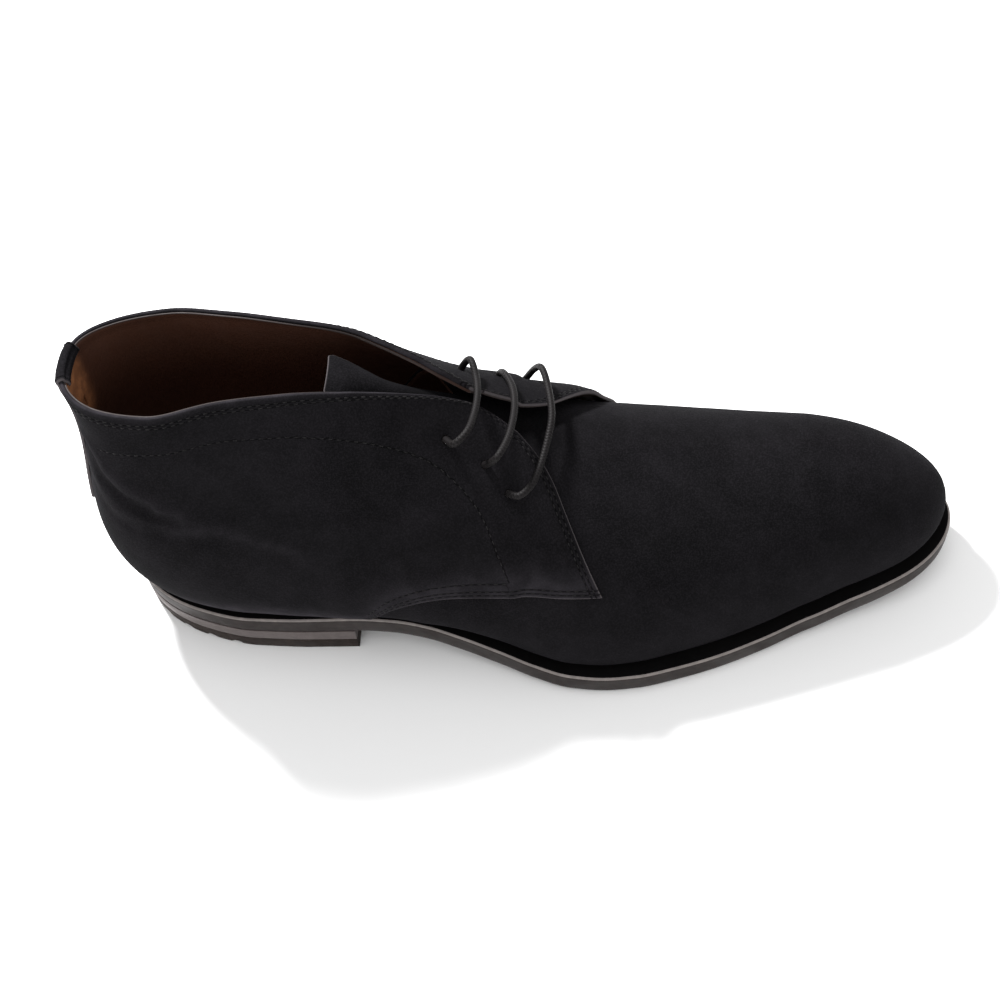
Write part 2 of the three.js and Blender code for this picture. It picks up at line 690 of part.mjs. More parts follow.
add('outsole', makeOutsole(), SOLE_LEATHER);
add('welt', makeWelt(), SOLE_LEATHER);
add('heel_lift', makeHeelLift(), STACKED_LIFT);
add('heel_top_piece', makeHeelTopPiece(), HEEL_RUBBER);
add('insole', makeInsole(), LINING);
add('upper', makeUpper(), SUEDE);
add('tongue', makeTongue(), SUEDE);
add('quarter_lateral', makeQuarter(-1), SUEDE);
add('quarter_medial', makeQuarter(1), SUEDE);
add('back_strip', makeBackStrip(), SUEDE);
LACE_BARS.forEach((points, i) => add(`lace_bar_${i + 1}`, makeLaceBar(points), LACE));

const box = new THREE.Box3().setFromObject(shoe);
shoe.position.set(-(box.min.x + box.max.x) / 2, -(box.min.y + box.max.y) / 2, -box.min.z);

export default shoe;
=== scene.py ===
"""Looks of a suede chukka boot, right foot, built around its packed frame.

The boot's shapes are worked out in millimetres in the maker's own frame: X from the heel end (0)
to the toe end, Y across, positive on the inner side of the foot, Z up from the floor. place()
turns that into the frame's metres.
"""

import functools
import math

import bmesh
import bpy
import numpy as np
from mathutils import Matrix, Vector


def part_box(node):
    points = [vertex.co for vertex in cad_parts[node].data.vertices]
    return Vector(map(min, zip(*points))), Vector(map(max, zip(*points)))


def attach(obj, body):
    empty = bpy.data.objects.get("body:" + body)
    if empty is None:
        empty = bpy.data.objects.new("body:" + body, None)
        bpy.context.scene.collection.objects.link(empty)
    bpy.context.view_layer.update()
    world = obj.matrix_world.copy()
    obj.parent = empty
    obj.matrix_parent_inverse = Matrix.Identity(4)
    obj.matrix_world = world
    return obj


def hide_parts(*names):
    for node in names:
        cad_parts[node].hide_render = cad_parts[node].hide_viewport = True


bl_info = {
    "name": "Chukka Boot",
    "version": (1, 0, 0),
    "blender": (4, 5, 0),
    "location": "View3D > Sidebar > Boot",
    "description": "Builds the leather, suede, thread and lace of a chukka boot",
    "category": "Add Mesh",
}

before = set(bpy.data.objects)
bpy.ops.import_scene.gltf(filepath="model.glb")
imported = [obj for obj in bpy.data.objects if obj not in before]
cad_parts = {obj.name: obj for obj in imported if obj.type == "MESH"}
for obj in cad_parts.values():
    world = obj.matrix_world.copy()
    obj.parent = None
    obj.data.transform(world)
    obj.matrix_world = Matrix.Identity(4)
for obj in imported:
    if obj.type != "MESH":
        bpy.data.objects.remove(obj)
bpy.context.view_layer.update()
MM = 0.001

# ------------------------------------------------------------------ driving dimensions, mm
SHOE_LENGTH = 308.4
HEEL_ROUND = 50.0  # station where the round of the heel ends
TOE_ROUND = 255.0  # station where the round of the toe starts
SOLE_BACK = 1.3  # how far the sole stands behind station 0
HEEL_BREAST = 88.0  # station of the heel block's front face
COLLAR_BLUNT = 0.7  # how much squarer than an ellipse the collar is at the back
REAR_RECESS = 1.1
GAP = 0.3  # from the welt's top to the foot of the upper
WELT_THICK = 2.9
HEEL_SHARE = 0.2  # belt value at HEEL_ROUND
TOE_SHARE = 0.8  # belt value at TOE_ROUND
VAMP_RISE = (145.0, 185.0)  # stations between which the hollow wall comes up to the skin
LIFT_LEVELS = (0.52, 0.82)  # levels between which the inner facing comes to stand off
SWELL_LEVELS = (0.35, 0.6, 0.7, 0.95)  # levels over which it swells up and dies away
RIB_LENGTH = 118.0  # length of a rib behind the ankle, for the chart of the wrinkles
RIDGE_SHARE = 0.6  # height of a wrinkle's ridge against the depth of its trough
SMALL = 1e-4  # step for slopes, in belt and level
FAR = 9.0  # distance given to points whose edge is hidden
CUT_STEPS = (0, 0.12, 0.3, 0.6, 1.1)  # distances of the close rows along a cut edge
EYELET_RADIUS = 1.45
SLOT_END = 154.0  # station where the lacing slot closes
TUBE_SIDES = 14
DIMPLE_DEPTH, DIMPLE_WIDTH = 0.5, 2.4  # how the leather is drawn in round an eyelet
DIMPLE_RIB = 75.0  # length of a rib beside the slot, for the width of the dimple
FOLD_SWELL = 0.5  # what a quarter's outer face gains below the folded rim
THREAD_SUNK = 0.08  # depth of the stitches in the leather

# Plan of the sole: half widths each side of the X line, and the boot's own centre line.
OUTLINE = (
    ("at", "lateral", "medial", "axis"),
    (0, 34.6, 35, 0),
    (30, 34.9, 34.9, 0.2),
    (50, 36.4, 34.4, 0.4),
    (70, 37.3, 32.7, 0.8),
    (90, 37.2, 28.6, 1.5),
    (104, 37.6, 25, 2),
    (116, 39.3, 23.2, 2.4),
    (128, 42.5, 24, 2.7),
    (142, 47.1, 28, 3),
    (155, 52, 34.2, 3),
    (168, 55.6, 40.8, 3),
    (180, 56.4, 46, 3.3),
    (192, 55.4, 49.4, 3.6),
    (205, 52.3, 50.7, 4),
    (220, 47.6, 49.7, 5),
    (238, 40.3, 46.3, 6.4),
    (255, 32.4, 42.8, 7.8),
    (272, 27.1, 40.4, 8.8),
    (288, 25.6, 38.6, 9.3),
    (SHOE_LENGTH, 25.6, 37, 9.5),
)

# Side view of the sole: underside, top edge of the welt, and width of welt that shows.
SOLE = (
    ("at", "under", "edge", "welt"),
    (0, 11.2, 19.8, 2.4),
    (22, 11.2, 19.7, 2.3),
    (48, 11.2, 19.6, 3.3),
    (72, 11.4, 20.1, 2.2),
    (HEEL_BREAST, 11.6, 20.4, 0.7),
    (112, 9, 18.4, 0.4),
    (128, 6, 15.7, 2.6),
    (142, 3.4, 13.1, 4),
    (160, 1, 10.6, 4.9),
    (180, 0, 9.3, 6),
    (215, 0, 9.3, 6.8),
    (250, 1.6, 10.8, 6.6),
    (285, 5.6, 14.6, 5.8),
    (SHOE_LENGTH, 9.2, 18, 5.2),
)

# Side view of the collar, throat and vamp ridge, and half the width left open at the top.
TOPLINE = (
    ("at", "top", "open", "spring"),
    (0, 125.5, 23.5, 0),
    (15, 124.2, 24, 0.5),
    (35, 124, 24, 1),
    (60, 125.4, 19.6, 1.3),
    (80, 123.7, 16, 1.9),
    (100, 119.2, 12.2, 3.5),
    (110, 115.1, 9.4, 3.6),
    (120, 110.4, 6.6, 3.2),
    (130, 104.9, 3.8, 2.1),
    (140, 98.8, 2.4, 0.5),
    (150, 92, 2, 0),
    (SLOT_END, 89.2, 0, 0),
    (175, 77.5, 0, 0),
    (200, 69, 0, 0),
    (230, 63, 0, 0),
    (260, 59.8, 0, 0),
    (285, 57.9, 0, 0),
    (SHOE_LENGTH, 55.3, 0, 0),
)

# Each rib leaves the welt flared out by "flare" degrees with a pull of "low", and arrives at
# the top sloping "lean" degrees with a pull of "high".
RIBS = (
    ("at", "flare", "low", "lean", "high"),
    (0, 28, 40, 86, 34),
    (50, 25, 40, 84, 36),
    (90, 28, 36, 72, 38),
    (120, 32, 30, 44, 38),
    (140, 32, 28, 24, 38),
    (160, 30, 26, 6, 32),
    (200, 28, 24, 0, 28),
    (240, 27, 22, 0, 28),
    (270, 28, 20, 0, 26),
    (SHOE_LENGTH, 24, 18, 0, 20),
)
HEEL_CURVE = {"foot": 5.5, "top": 5, "flare": 30.5, "lean": 104}
TOE_CURVE = {"foot": 303, "top": 276, "flare": 25.5, "lean": 17}

# Edges of a quarter as (station, level): level is 0 at the welt and 1 at the top of a rib.
QUARTER_FRONT = {
    -1: (
        (180.5, 0.435), (174.5, 0.57), (169, 0.7), (164.6, 0.8), (160, 0.868), (155, 0.92),
        (149, 0.972), (142, 0.993), (138, 1.0),
    ),
    1: (
        (186.5, 0.435), (185, 0.53), (182.5, 0.64), (179.5, 0.725), (174, 0.8), (168.5, 0.865),
        (162, 0.93), (153, 0.975), (144, 0.995), (138, 1.0),
    ),
}
QUARTER_LOWER = (
    (94, 0.0), (98, 0.06), (105, 0.175), (117, 0.283), (132.5, 0.349), (147, 0.394), (165, 0.422),
)
LINING_SEAM = (
    (11, 0.815), (26.5, 0.842), (40, 0.857), (59, 0.861), (79, 0.861), (90, 0.857), (105, 0.849),
    (115, 0.836), (122, 0.818), (128, 0.79), (133.4, 0.752), (137.8, 0.712), (141.3, 0.665),
    (144, 0.606), (146.3, 0.539), (148.6, 0.467),
)
EYELETS = {
    -1: ((130.3, 0.876), (142.8, 0.826), (150.3, 0.749)),
    1: ((133.3, 0.884), (145.3, 0.83), (152.3, 0.71)),
}

# How far the inner quarter's facing stands off the foot at its edge, and swells below it.
FACING = (
    ("at", "lift", "swell"),
    (96, 0, 0),
    (112, 0, 0.5),
    (130, 0.5, 1.3),
    (146, 1.4, 1.7),
    (160, 2.8, 1.7),
    (170, 3.9, 1.6),
    (177, 3.4, 1.0),
    (183, 1, 0.2),
    (190, 0, 0),
)

# Tongue: how deep its crown lies under the collar line, half width, and drop of its edges.
TONGUE = (
    ("at", "sunk", "half", "drop"),
    (91, 4.4, 9.2, 2),
    (97, 5.4, 8.2, 2.6),
    (103, 6.6, 7.2, 4),
    (111, 7.6, 6.6, 6.6),
    (120, 8.2, 7.6, 7.6),
    (130, 8, 10, 8),
    (140, 7.2, 13, 8),
    (150, 6.2, 15.5, 8),
    (162, 5.6, 17, 8.5),
)
TONGUE_END = 91.5

# Line on the outer heel along which the suede is drawn paler, as (station, level).
PALE_STREAK = (
    (26, 0.55), (35, 0.535), (46.8, 0.528), (53.7, 0.522), (64.5, 0.478), (75.7, 0.445), (84, 0.42),
)

# Soft wrinkles of the outer quarter behind the ankle: a line of (station, level) points, with
# the depth and half width of its trough.
CREASES = (
    {"line": ((2.5, 0.77), (8, 0.7), (16, 0.65), (27, 0.62)), "depth": 0.9, "width": 2.6},
    {"line": ((9, 0.66), (22, 0.6), (36, 0.575)), "depth": 0.6, "width": 2.4},
    {"line": ((20, 0.53), (34, 0.5), (48, 0.49)), "depth": 0.35, "width": 3.2},
    {"line": ((3, 0.6), (10, 0.54), (20, 0.5)), "depth": 0.35, "width": 2.6},
)

# Distance of each row of stitches from its edge, mm.
FRONT_ROWS = (1.9, 3.5)
LOWER_ROWS = (1.7, 3.3)
UPPER_ROW = 6.6
COLLAR_ROWS = (3.2, 4.6)
STRIP_ROW = 1.7
STRIP_HALF = 9.2
RIM_RADIUS = 0.75

# One lace: middle line of each crossing, from beside the outer eyelet over the slot to the
# inner one.
LACE_CROSSINGS = (
    ((133.8, -17, 100), (137.8, -14, 102), (139.8, -6, 101), (140.6, 3, 101), (139.8, 10, 101),
     (137.5, 17, 102)),
    ((147.6, -20, 96), (150.5, -14, 96.4), (152.2, -6, 96.2), (152.6, 3, 95.3), (151.4, 11, 94.5),
     (148.3, 18, 93)),
    ((154, -25, 81), (158, -22, 82.5), (161, -14, 83.2), (163.5, -5, 86), (164.7, 3, 88.2),
     (163.3, 14, 89.8), (160.6, 22.8, 90)),
)


# ------------------------------------------------------------------ curves through tables
def monotone(x, y):
    """Smooth function through the points (x, y) that never overshoots them.

    Between two points it is the cubic with given end slopes. The slope at a point is the
    weighted harmonic mean of the slopes of the spans beside it, or zero where they differ in
    sign, and at the ends it is the slope of the last span.
    """
    x, y = np.array(x, float), np.array(y, float)
    step = np.diff(x)
    rise = np.diff(y) / step
    before = 2 * step[1:] + step[:-1]
    after = step[1:] + 2 * step[:-1]
    same = rise[:-1] * rise[1:] > 0
    left, right = np.where(same, rise[:-1], 1), np.where(same, rise[1:], 1)
    slope = np.empty_like(y)
    slope[1:-1] = np.where(same, (before + after) / (before / left + after / right), 0)
    slope[0], slope[-1] = rise[0], rise[-1]

    def value(at):
        here = np.clip(at, x[0], x[-1])
        i = np.clip(np.searchsorted(x, here, side="right") - 1, 0, len(step) - 1)
        t = (here - x[i]) / step[i]
        s = 1 - t
        return (
            (1 + 2 * t) * s * s * y[i] + t * s * s * step[i] * slope[i]
            + t * t * (3 - 2 * t) * y[i + 1] - t * t * s * step[i] * slope[i + 1]
        )

    return value


def columns(rows):
    """One smooth function of the first column for each other column, by its name."""
    names, values = rows[0], np.array(rows[1:], float)
    return {name: monotone(values[:, 0], values[:, k]) for k, name in enumerate(names) if k}


def ramp(value, low, high):
    """0 below low, 1 above high, and smooth between: 3t^2 - 2t^3 of the share t of the way."""
    t = np.clip((value - low) / (high - low), 0, 1)
    return t * t * (3 - 2 * t)


outline = columns(OUTLINE)
sole = columns(SOLE)
topline = columns(TOPLINE)
ribs = columns(RIBS)
facing_shape = columns(FACING)
tongue_shape = columns(TONGUE)


# ------------------------------------------------------------------ the last's surface
def station_at(belt):
    """Station for a belt value from 0 (back of heel) to 1 (toe tip).

    At the heel it is the round's length times one less the cosine of the turn, on the sides
    it grows evenly, and at the toe it is the toe round's length times the sine of the turn.
    """
    heel_turn = np.pi / 2 * np.clip(belt / HEEL_SHARE, 0, 1)
    toe_turn = np.pi / 2 * np.clip((belt - TOE_SHARE) / (1 - TOE_SHARE), 0, 1)
    share = np.clip((belt - HEEL_SHARE) / (TOE_SHARE - HEEL_SHARE), 0, 1)
    return (
        HEEL_ROUND * (1 - np.cos(heel_turn))
        + (TOE_ROUND - HEEL_ROUND) * share
        + (SHOE_LENGTH - TOE_ROUND) * np.sin(toe_turn)
    )


def belt_at(station):
    """The belt value whose station is given: the three stretches of station_at turned round."""
    heel = np.arccos(1 - np.clip(station / HEEL_ROUND, 0, 1)) / (np.pi / 2)
    toe = np.arcsin(np.clip((station - TOE_ROUND) / (SHOE_LENGTH - TOE_ROUND), 0, 1)) / (np.pi / 2)
    share = np.clip((station - HEEL_ROUND) / (TOE_ROUND - HEEL_ROUND), 0, 1)
    return HEEL_SHARE * heel + (TOE_SHARE - HEEL_SHARE) * share + (1 - TOE_SHARE) * toe


def ends(station):
    """How far round the heel and the toe a station lies, each 0 on the sides and 1 at the end."""
    heel = np.clip((HEEL_ROUND - station) / HEEL_ROUND, 0, 1)
    toe = np.clip((station - TOE_ROUND) / (SHOE_LENGTH - TOE_ROUND), 0, 1)
    return heel, toe


def half_width(station, side):
    """Distance from the boot's centre line to the sole's edge on one side."""
    axis = outline["axis"](station)
    return np.where(side < 0, outline["lateral"](station) + axis, outline["medial"](station) - axis)


def plan_point(belt, side, inset):
    """X and Y on the sole's plan, "inset" in from its edge: a quarter ellipse at each end."""
    station = station_at(belt)
    heel, toe = ends(station)
    rounding = np.sqrt(1 - heel**2) * np.sqrt(1 - toe**2)
    x = station + np.where(heel > 0, (SOLE_BACK + inset) * heel, 0)
    x = x - np.where(toe > 0, inset * toe, 0)
    y = outline["axis"](station) + side * (half_width(station, side) - inset) * rounding
    return x, y


def bezier(a, b, c, d, t):
    """Cubic curve from a to d, leaving towards b and arriving from c."""
    s = 1 - t
    return s**3 * a + 3 * s * s * t * b + 3 * s * t * t * c + t**3 * d


def skin(belt, level, side):
    """Outer skin of the boot: each rib is a cubic from the welt to the top.

    The rib's half width is scaled by the heel's and the toe's rounding, and at those ends the
    rib also moves along X onto the heel's and the toe's own side-view curves.
    """
    station = station_at(belt)
    heel, toe = ends(station)
    blunt = 2 + COLLAR_BLUNT * level
    rounding = (1 - heel**blunt) ** (1 / blunt) * np.sqrt(1 - toe**2)
    flare = np.radians(ribs["flare"](station))
    lean = np.radians(ribs["lean"](station) + toe * TOE_CURVE["lean"])
    low, high = ribs["low"](station), ribs["high"](station)
    foot = half_width(station, side) - sole["welt"](station)
    opening = topline["open"](station) + topline["spring"](station) * (side > 0)
    floor, top = sole["edge"](station) + GAP, topline["top"](station)
    out = bezier(foot, foot + low * np.sin(flare), opening + high * np.cos(lean), opening, level)
    z = bezier(floor, floor + low * np.cos(flare), top - high * np.sin(lean), top, level)

    def end(curve, away):
        swell = away * low * math.sin(math.radians(curve["flare"]))
        reach = away * high * math.cos(math.radians(curve["lean"]))
        foot, top = curve["foot"], curve["top"]
        return bezier(foot, foot + swell, top + reach, top, level)

    x = station + heel * end(HEEL_CURVE, -1) + toe * (end(TOE_CURVE, 1) - SHOE_LENGTH)
    y = outline["axis"](station) + side * out * rounding
    return np.stack(np.broadcast_arrays(x, y, z), -1)


def recess(station):
    """How much deeper the hollow wall lies under the quarters than in the open vamp."""
    return REAR_RECESS * (1 - ramp(station, *VAMP_RISE))


def frame_at(belt, level, side):
    """Point, outward normal, direction along the belt and direction up the rib.

    The normal is the cross product of two small differences of the skin. It stays level at
    the welt, in the centre plane at the heel and toe ends, and square to the ridge on it.
    """
    belt, level = np.broadcast_arrays(np.asarray(belt, float), np.asarray(level, float))
    inside = np.clip(level, SMALL, 1 - 10 * SMALL)
    ahead, behind = np.clip(belt + SMALL, 0, 1), np.clip(belt - SMALL, 0, 1)
    along = skin(ahead, inside, side) - skin(behind, inside, side)
    up = skin(belt, inside + SMALL, side) - skin(belt, inside - SMALL, side)
    normal = np.cross(along, up) * -np.asarray(side, float)[..., None]
    normal[..., 2] = np.where(level <= 0, 0, normal[..., 2])
    normal[..., 1] = np.where((belt <= 0) | (belt >= 1), 0, normal[..., 1])
    ridge = (level >= 1) & (station_at(belt) > SLOT_END - 1e-6)
    normal[..., 1] = np.where(ridge, 0, normal[..., 1])
    unit = lambda v: v / np.maximum(np.linalg.norm(v, axis=-1, keepdims=True), 1e-12)
    return skin(belt, level, side), unit(normal), unit(along), unit(up)


def lifted(belt, level, side, out):
    """The skin moved outwards along its normal, from the depth of the wall under the quarters."""
    point, normal, _, _ = frame_at(belt, level, side)
    reach = out - recess(station_at(np.asarray(belt, float)))
    return point + normal * np.asarray(reach)[..., None]


def facing(belt, level, side):
    """How far a quarter stands off the foot beside the slot: the inner one springs open."""
    if side < 0:
        return 0.0
    station = station_at(belt)
    start, full, fade, end = SWELL_LEVELS
    swell = facing_shape["swell"](station) * ramp(level, start, full) * (1 - ramp(level, fade, end))
    return facing_shape["lift"](station) * ramp(level, *LIFT_LEVELS) + swell


def creased(belt, level, side):
    """Wrinkles as troughs with a low ridge beside them, in mm outwards.

    For each point the distance to the crease's line is found in a flat chart, station against
    level times a rib's length. The trough is a bell of that distance, and a share of a second
    bell two widths away on the upper side is added as its ridge.
    """
    station = station_at(np.asarray(belt, float))
    chart = np.stack(np.broadcast_arrays(station, np.asarray(level) * RIB_LENGTH), -1)
    relief = np.zeros(chart.shape[:-1])
    if side > 0:
        return relief
    for crease in CREASES:
        line = np.array(crease["line"]) * (1, RIB_LENGTH)
        nearest = np.full(relief.shape, 1e9)
        above = np.zeros(relief.shape)
        for a, b in zip(line[:-1], line[1:]):
            t = np.clip(((chart - a) @ (b - a)) / ((b - a) @ (b - a)), 0, 1)
            offset = chart - (a + t[..., None] * (b - a))
            far = np.linalg.norm(offset, axis=-1)
            closer = far < nearest
            nearest = np.where(closer, far, nearest)
            above = np.where(closer, np.sign(offset[..., 1]), above)
        share = nearest * above / crease["width"]
        ridge = RIDGE_SHARE * np.exp(-((share - 2) ** 2))
        relief -= crease["depth"] * (np.exp(-(share**2)) - ridge)
    return relief


# ------------------------------------------------------------------ a quarter's own patch
def run_along(points):
    """Distance along a line of points to each of them, in mm."""
    return np.concatenate([[0], np.cumsum(np.linalg.norm(np.diff(points, axis=0), axis=-1))])


def chain(points, side):
    """Curve through (station, level) points, as belt and level for a share 0 to 1 of its length.

    Each coordinate is a smooth function of the number of the point, and the share runs
    evenly with the true length on the skin.
    """
    points = np.array(points, float)
    number = np.arange(len(points))
    fine = np.linspace(0, len(points) - 1, 600)
    belt = np.clip(monotone(number, belt_at(points[:, 0]))(fine), 0, 1)
    level = np.clip(monotone(number, points[:, 1])(fine), 0, 1)
    length = run_along(skin(belt, level, side))
    length /= length[-1]

    def at(share):
        return np.stack([np.interp(share, length, belt), np.interp(share, length, level)], -1)

    return at


def coons(bottom, top, back, front, u, v):
    """Patch between four edge curves: the two ruled surfaces added, less the corners' patch."""
    corner = [curve(np.float64(end)) for curve in (bottom, top) for end in (0, 1)]
    b, t, l, r = bottom(u), top(u), back(v), front(v)
    u, v = u[..., None], v[..., None]
    flat = (
        (1 - u) * (1 - v) * corner[0] + u * (1 - v) * corner[1]
        + (1 - u) * v * corner[2] + u * v * corner[3]
    )
    return (1 - v) * b + v * t + (1 - u) * l + u * r - flat


def patch_lengths(where, side):
    """Length on the skin of each line across a patch and of each line up it, in mm."""
    share = np.linspace(0, 1, 41)
    u, v = np.meshgrid(share, share, indexing="ij")
    chart = where(u, v)
    points = skin(chart[..., 0], chart[..., 1], side)
    across = np.linalg.norm(np.diff(points, axis=0), axis=-1).sum(0)
    upward = np.linalg.norm(np.diff(points, axis=1), axis=-1).sum(1)
    return (lambda v: np.interp(v, share, across)), (lambda u: np.interp(u, share, upward))


def quarter_patch(side):
    """Belt and level over a quarter for u from the back seam to the front corner and v from the
    welt and lower edge up to the collar and front edge, with its two families of lengths."""
    edge = QUARTER_FRONT[side]
    to_breast = station_at(np.linspace(0, belt_at(HEEL_BREAST), 7))
    to_front = station_at(np.linspace(0, belt_at(float(edge[-1][0])), 9))
    heel_foot = tuple((station, 0.0) for station in to_breast)
    collar = tuple((station, 1.0) for station in to_front)
    bottom = chain(heel_foot + QUARTER_LOWER + edge[:1], side)
    top = chain(collar, side)
    back = chain(((0, 0), (0, 0.33), (0, 0.66), (0, 1)), side)
    front = chain(edge, side)
    where = lambda u, v: coons(bottom, top, back, front, u, v)
    return (where, *patch_lengths(where, side))


PATCHES = {side: quarter_patch(side) for side in (-1, 1)}


def spaced(count, length, low_steps, high_steps):
    """Shares 0 to 1 in rows: given distances in mm from each end, and even steps between."""
    length = np.asarray(length, float)[..., None]
    first = np.array(low_steps) / length
    last = 1 - np.array(high_steps)[::-1] / length
    t = np.linspace(0, 1, count + 2)[1:-1]
    middle = first[..., -1:] + (last[..., :1] - first[..., -1:]) * t
    return np.concatenate([first, middle, last], -1)


# ------------------------------------------------------------------ meshes
def offset_to_frame():
    """Shift from the maker's frame to the packed frame, from the welt's box in both."""
    low, high = (np.array(corner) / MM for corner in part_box("welt"))
    widest = max(row[1] for row in OUTLINE[1:])
    return np.array([high[0] - SHOE_LENGTH, low[1] + widest, 0.0])


SHIFT = offset_to_frame()


def place(points):
    """Maker's millimetres to the frame's metres."""
    return (np.asarray(points, float) + SHIFT) * MM


def grid_faces(rows, cols, wrap=False):
    """Quads between neighbours of a grid of rows by cols points, closed round if wrap is set."""
    i = np.arange(rows - 1)[:, None]
    j = np.arange(cols if wrap else cols - 1)[None, :]
    k = (j + 1) % cols
    quads = [i * cols + j, (i + 1) * cols + j, (i + 1) * cols + k, i * cols + k]
    return np.stack(np.broadcast_arrays(*quads), -1).reshape(-1, 4)


def mesh_piece(name, points, faces, material, replaces=(), values=None, uv=None):
    """Makes one closed mesh piece of the boot and hands it to the frame.

    values maps an attribute's name to one number for each point, and uv gives two.
    """
    mesh = bpy.data.meshes.new(name)
    points = place(points).reshape(-1, 3)
    faces = np.asarray(faces, np.int32)
    sides = faces.shape[1]
    mesh.vertices.add(len(points))
    mesh.vertices.foreach_set("co", points.ravel())
    mesh.loops.add(faces.size)
    mesh.loops.foreach_set("vertex_index", faces.ravel())
    mesh.polygons.add(len(faces))
    mesh.polygons.foreach_set("loop_start", np.arange(len(faces), dtype=np.int32) * sides)
    mesh.polygons.foreach_set("loop_total", np.full(len(faces), sides, np.int32))
    mesh.update(calc_edges=True)
    if uv is not None:
        layer = mesh.uv_layers.new(name="UVMap")
        layer.data.foreach_set("uv", np.asarray(uv, float).reshape(-1, 2)[faces.ravel()].ravel())
    for key, numbers in (values or {}).items():
        attribute = mesh.attributes.new(key, "FLOAT", "POINT")
        attribute.data.foreach_set("value", np.asarray(numbers, np.float32).ravel())
    tidy = bmesh.new()
    tidy.from_mesh(mesh)
    bmesh.ops.remove_doubles(tidy, verts=tidy.verts, dist=2e-6)
    bmesh.ops.dissolve_degenerate(tidy, edges=tidy.edges, dist=1e-7)
    bmesh.ops.recalc_face_normals(tidy, faces=tidy.faces)
    tidy.to_mesh(mesh)
    tidy.free()
    mesh.polygons.foreach_set("use_smooth", np.ones(len(mesh.polygons), bool))
    mesh.materials.append(material)
    piece = bpy.data.objects.new(name, mesh)
    bpy.context.scene.collection.objects.link(piece)
    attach(piece, "root")
    if replaces:
        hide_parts(*replaces)
    return piece


def sharpen(piece, degrees):
    """Keeps edges that turn by more than the given angle crisp, and the rest smooth."""
    piece.data.set_sharp_from_angle(angle=math.radians(degrees))


def layer_mesh(outer, inner, cap_end=True):
    """Points and quads of a sheet with thickness, from grids of its outer and inner faces.

    Each row is one loop, out along the outer face and back along the inner one. The ends of
    the sheet are closed by strips between the two faces.
    """
    rows, cols = outer.shape[:2]
    loops = np.concatenate([outer, inner[:, ::-1]], axis=1)
    j = np.arange(cols - 1)
    strip = np.stack([j, j + 1, 2 * cols - 2 - j, 2 * cols - 1 - j], -1)
    faces = [grid_faces(rows, 2 * cols, wrap=True), strip]
    if cap_end:
        faces.append(strip[:, ::-1] + (rows - 1) * 2 * cols)
    return loops, np.concatenate(faces)


def doubled(values):
    """One value for each point of layer_mesh, from a grid of values."""
    return np.concatenate([values, values[:, ::-1]], axis=1)


def rounded(distance, radius):
    """Share of full thickness near a cut edge: a quarter circle of the given radius."""
    t = np.clip(distance / radius, 0, 1)
    return np.sqrt(np.clip(1 - (1 - t) ** 2, 0, 1))


# ------------------------------------------------------------------ settings
def size_setting(name, description, default, least):
    """A length in mm that a user may change."""
    return bpy.props.FloatProperty(
        name=name, description=description + ", in mm", default=default, min=least
    )


def colour_setting(name, description, default):
    """A colour that a user may change, as linear red, green and blue."""
    return bpy.props.FloatVectorProperty(
        name=name, description=description, default=default, size=3, subtype="COLOR", min=0, max=1
    )


class BootSizes(bpy.types.PropertyGroup):
    """Sizes of leather, thread and lace."""

    quarter_wall: size_setting("Quarter", "Thickness of the quarter's suede", 1.15, 0.5)
    vamp_wall: size_setting("Vamp", "Thickness of the vamp's suede", 1.2, 0.5)
    lining_wall: size_setting("Lining", "Thickness of the lining", 0.8, 0.3)
    strip_wall: size_setting("Back strip", "Thickness of the back strip", 1.0, 0.3)
    lace: size_setting("Lace", "Diameter of the round lace", 2.5, 1)
    stitch: size_setting("Stitch", "Length of one stitch", 1.9, 0.5)
    stitch_pitch: size_setting("Stitch pitch", "Distance from stitch to stitch", 2.8, 0.8)
    thread: size_setting("Thread", "Diameter of the sewing thread", 0.55, 0.1)


class BootColours(bpy.types.PropertyGroup):
    """Colours of leather, thread and lace."""

    suede: colour_setting("Suede", "Near-black navy nap", (0.0036, 0.0034, 0.0038))
    # Paler suede: random paler nap, and also the colour of painted sheen above the welt and painted
    # highlights on the rim and crease ridges.
    suede_pale_and_sheen: colour_setting(
        "Pale suede and sheen", "Paler nap, and painted sheen and highlights", (0.05, 0.0455, 0.053)
    )
    raw_edge: colour_setting("Raw edge", "Cut edge of the suede", (0.11, 0.098, 0.102))
    lining: colour_setting("Lining", "Dark tan calf", (0.072, 0.031, 0.0195))
    # The lit lining colour is a painted pool of light on the lining inside the heel.
    lining_lit_patch: colour_setting("Lit lining patch", "Painted pool of light on the lining inside the heel", (0.36, 0.15, 0.065))
    lining_edge: colour_setting("Lining edge", "Cut edge of the lining", (0.036, 0.028, 0.027))
    sole_edge: colour_setting("Sole edge", "Waxed edge of sole and welt", (0.017, 0.0128, 0.0118))
    # The welt's top is dyed black and also painted darker as shade under the upper's overhang; the
    # bevel colour is a painted highlight.
    welt_top: colour_setting("Welt", "Top of the welt, dyed black and painted in shade", (0.0025, 0.0023, 0.0024))
    welt_bevel: colour_setting("Welt bevel", "Painted highlight on the welt's upper corner", (0.155, 0.136, 0.128))
    heel_lift: colour_setting("Heel lift", "Grey-brown stacked leather", (0.095, 0.079, 0.076))
    rubber: colour_setting("Heel rubber", "Dark brown top piece", (0.017, 0.0122, 0.0105))
    lace: colour_setting("Lace", "Waxed charcoal cord", (0.0045, 0.0038, 0.004))
    thread: colour_setting("Thread", "Sewing thread", (0.006, 0.0055, 0.0058))
    floor: colour_setting("Floor", "Pale studio floor", (0.95, 0.95, 0.95))


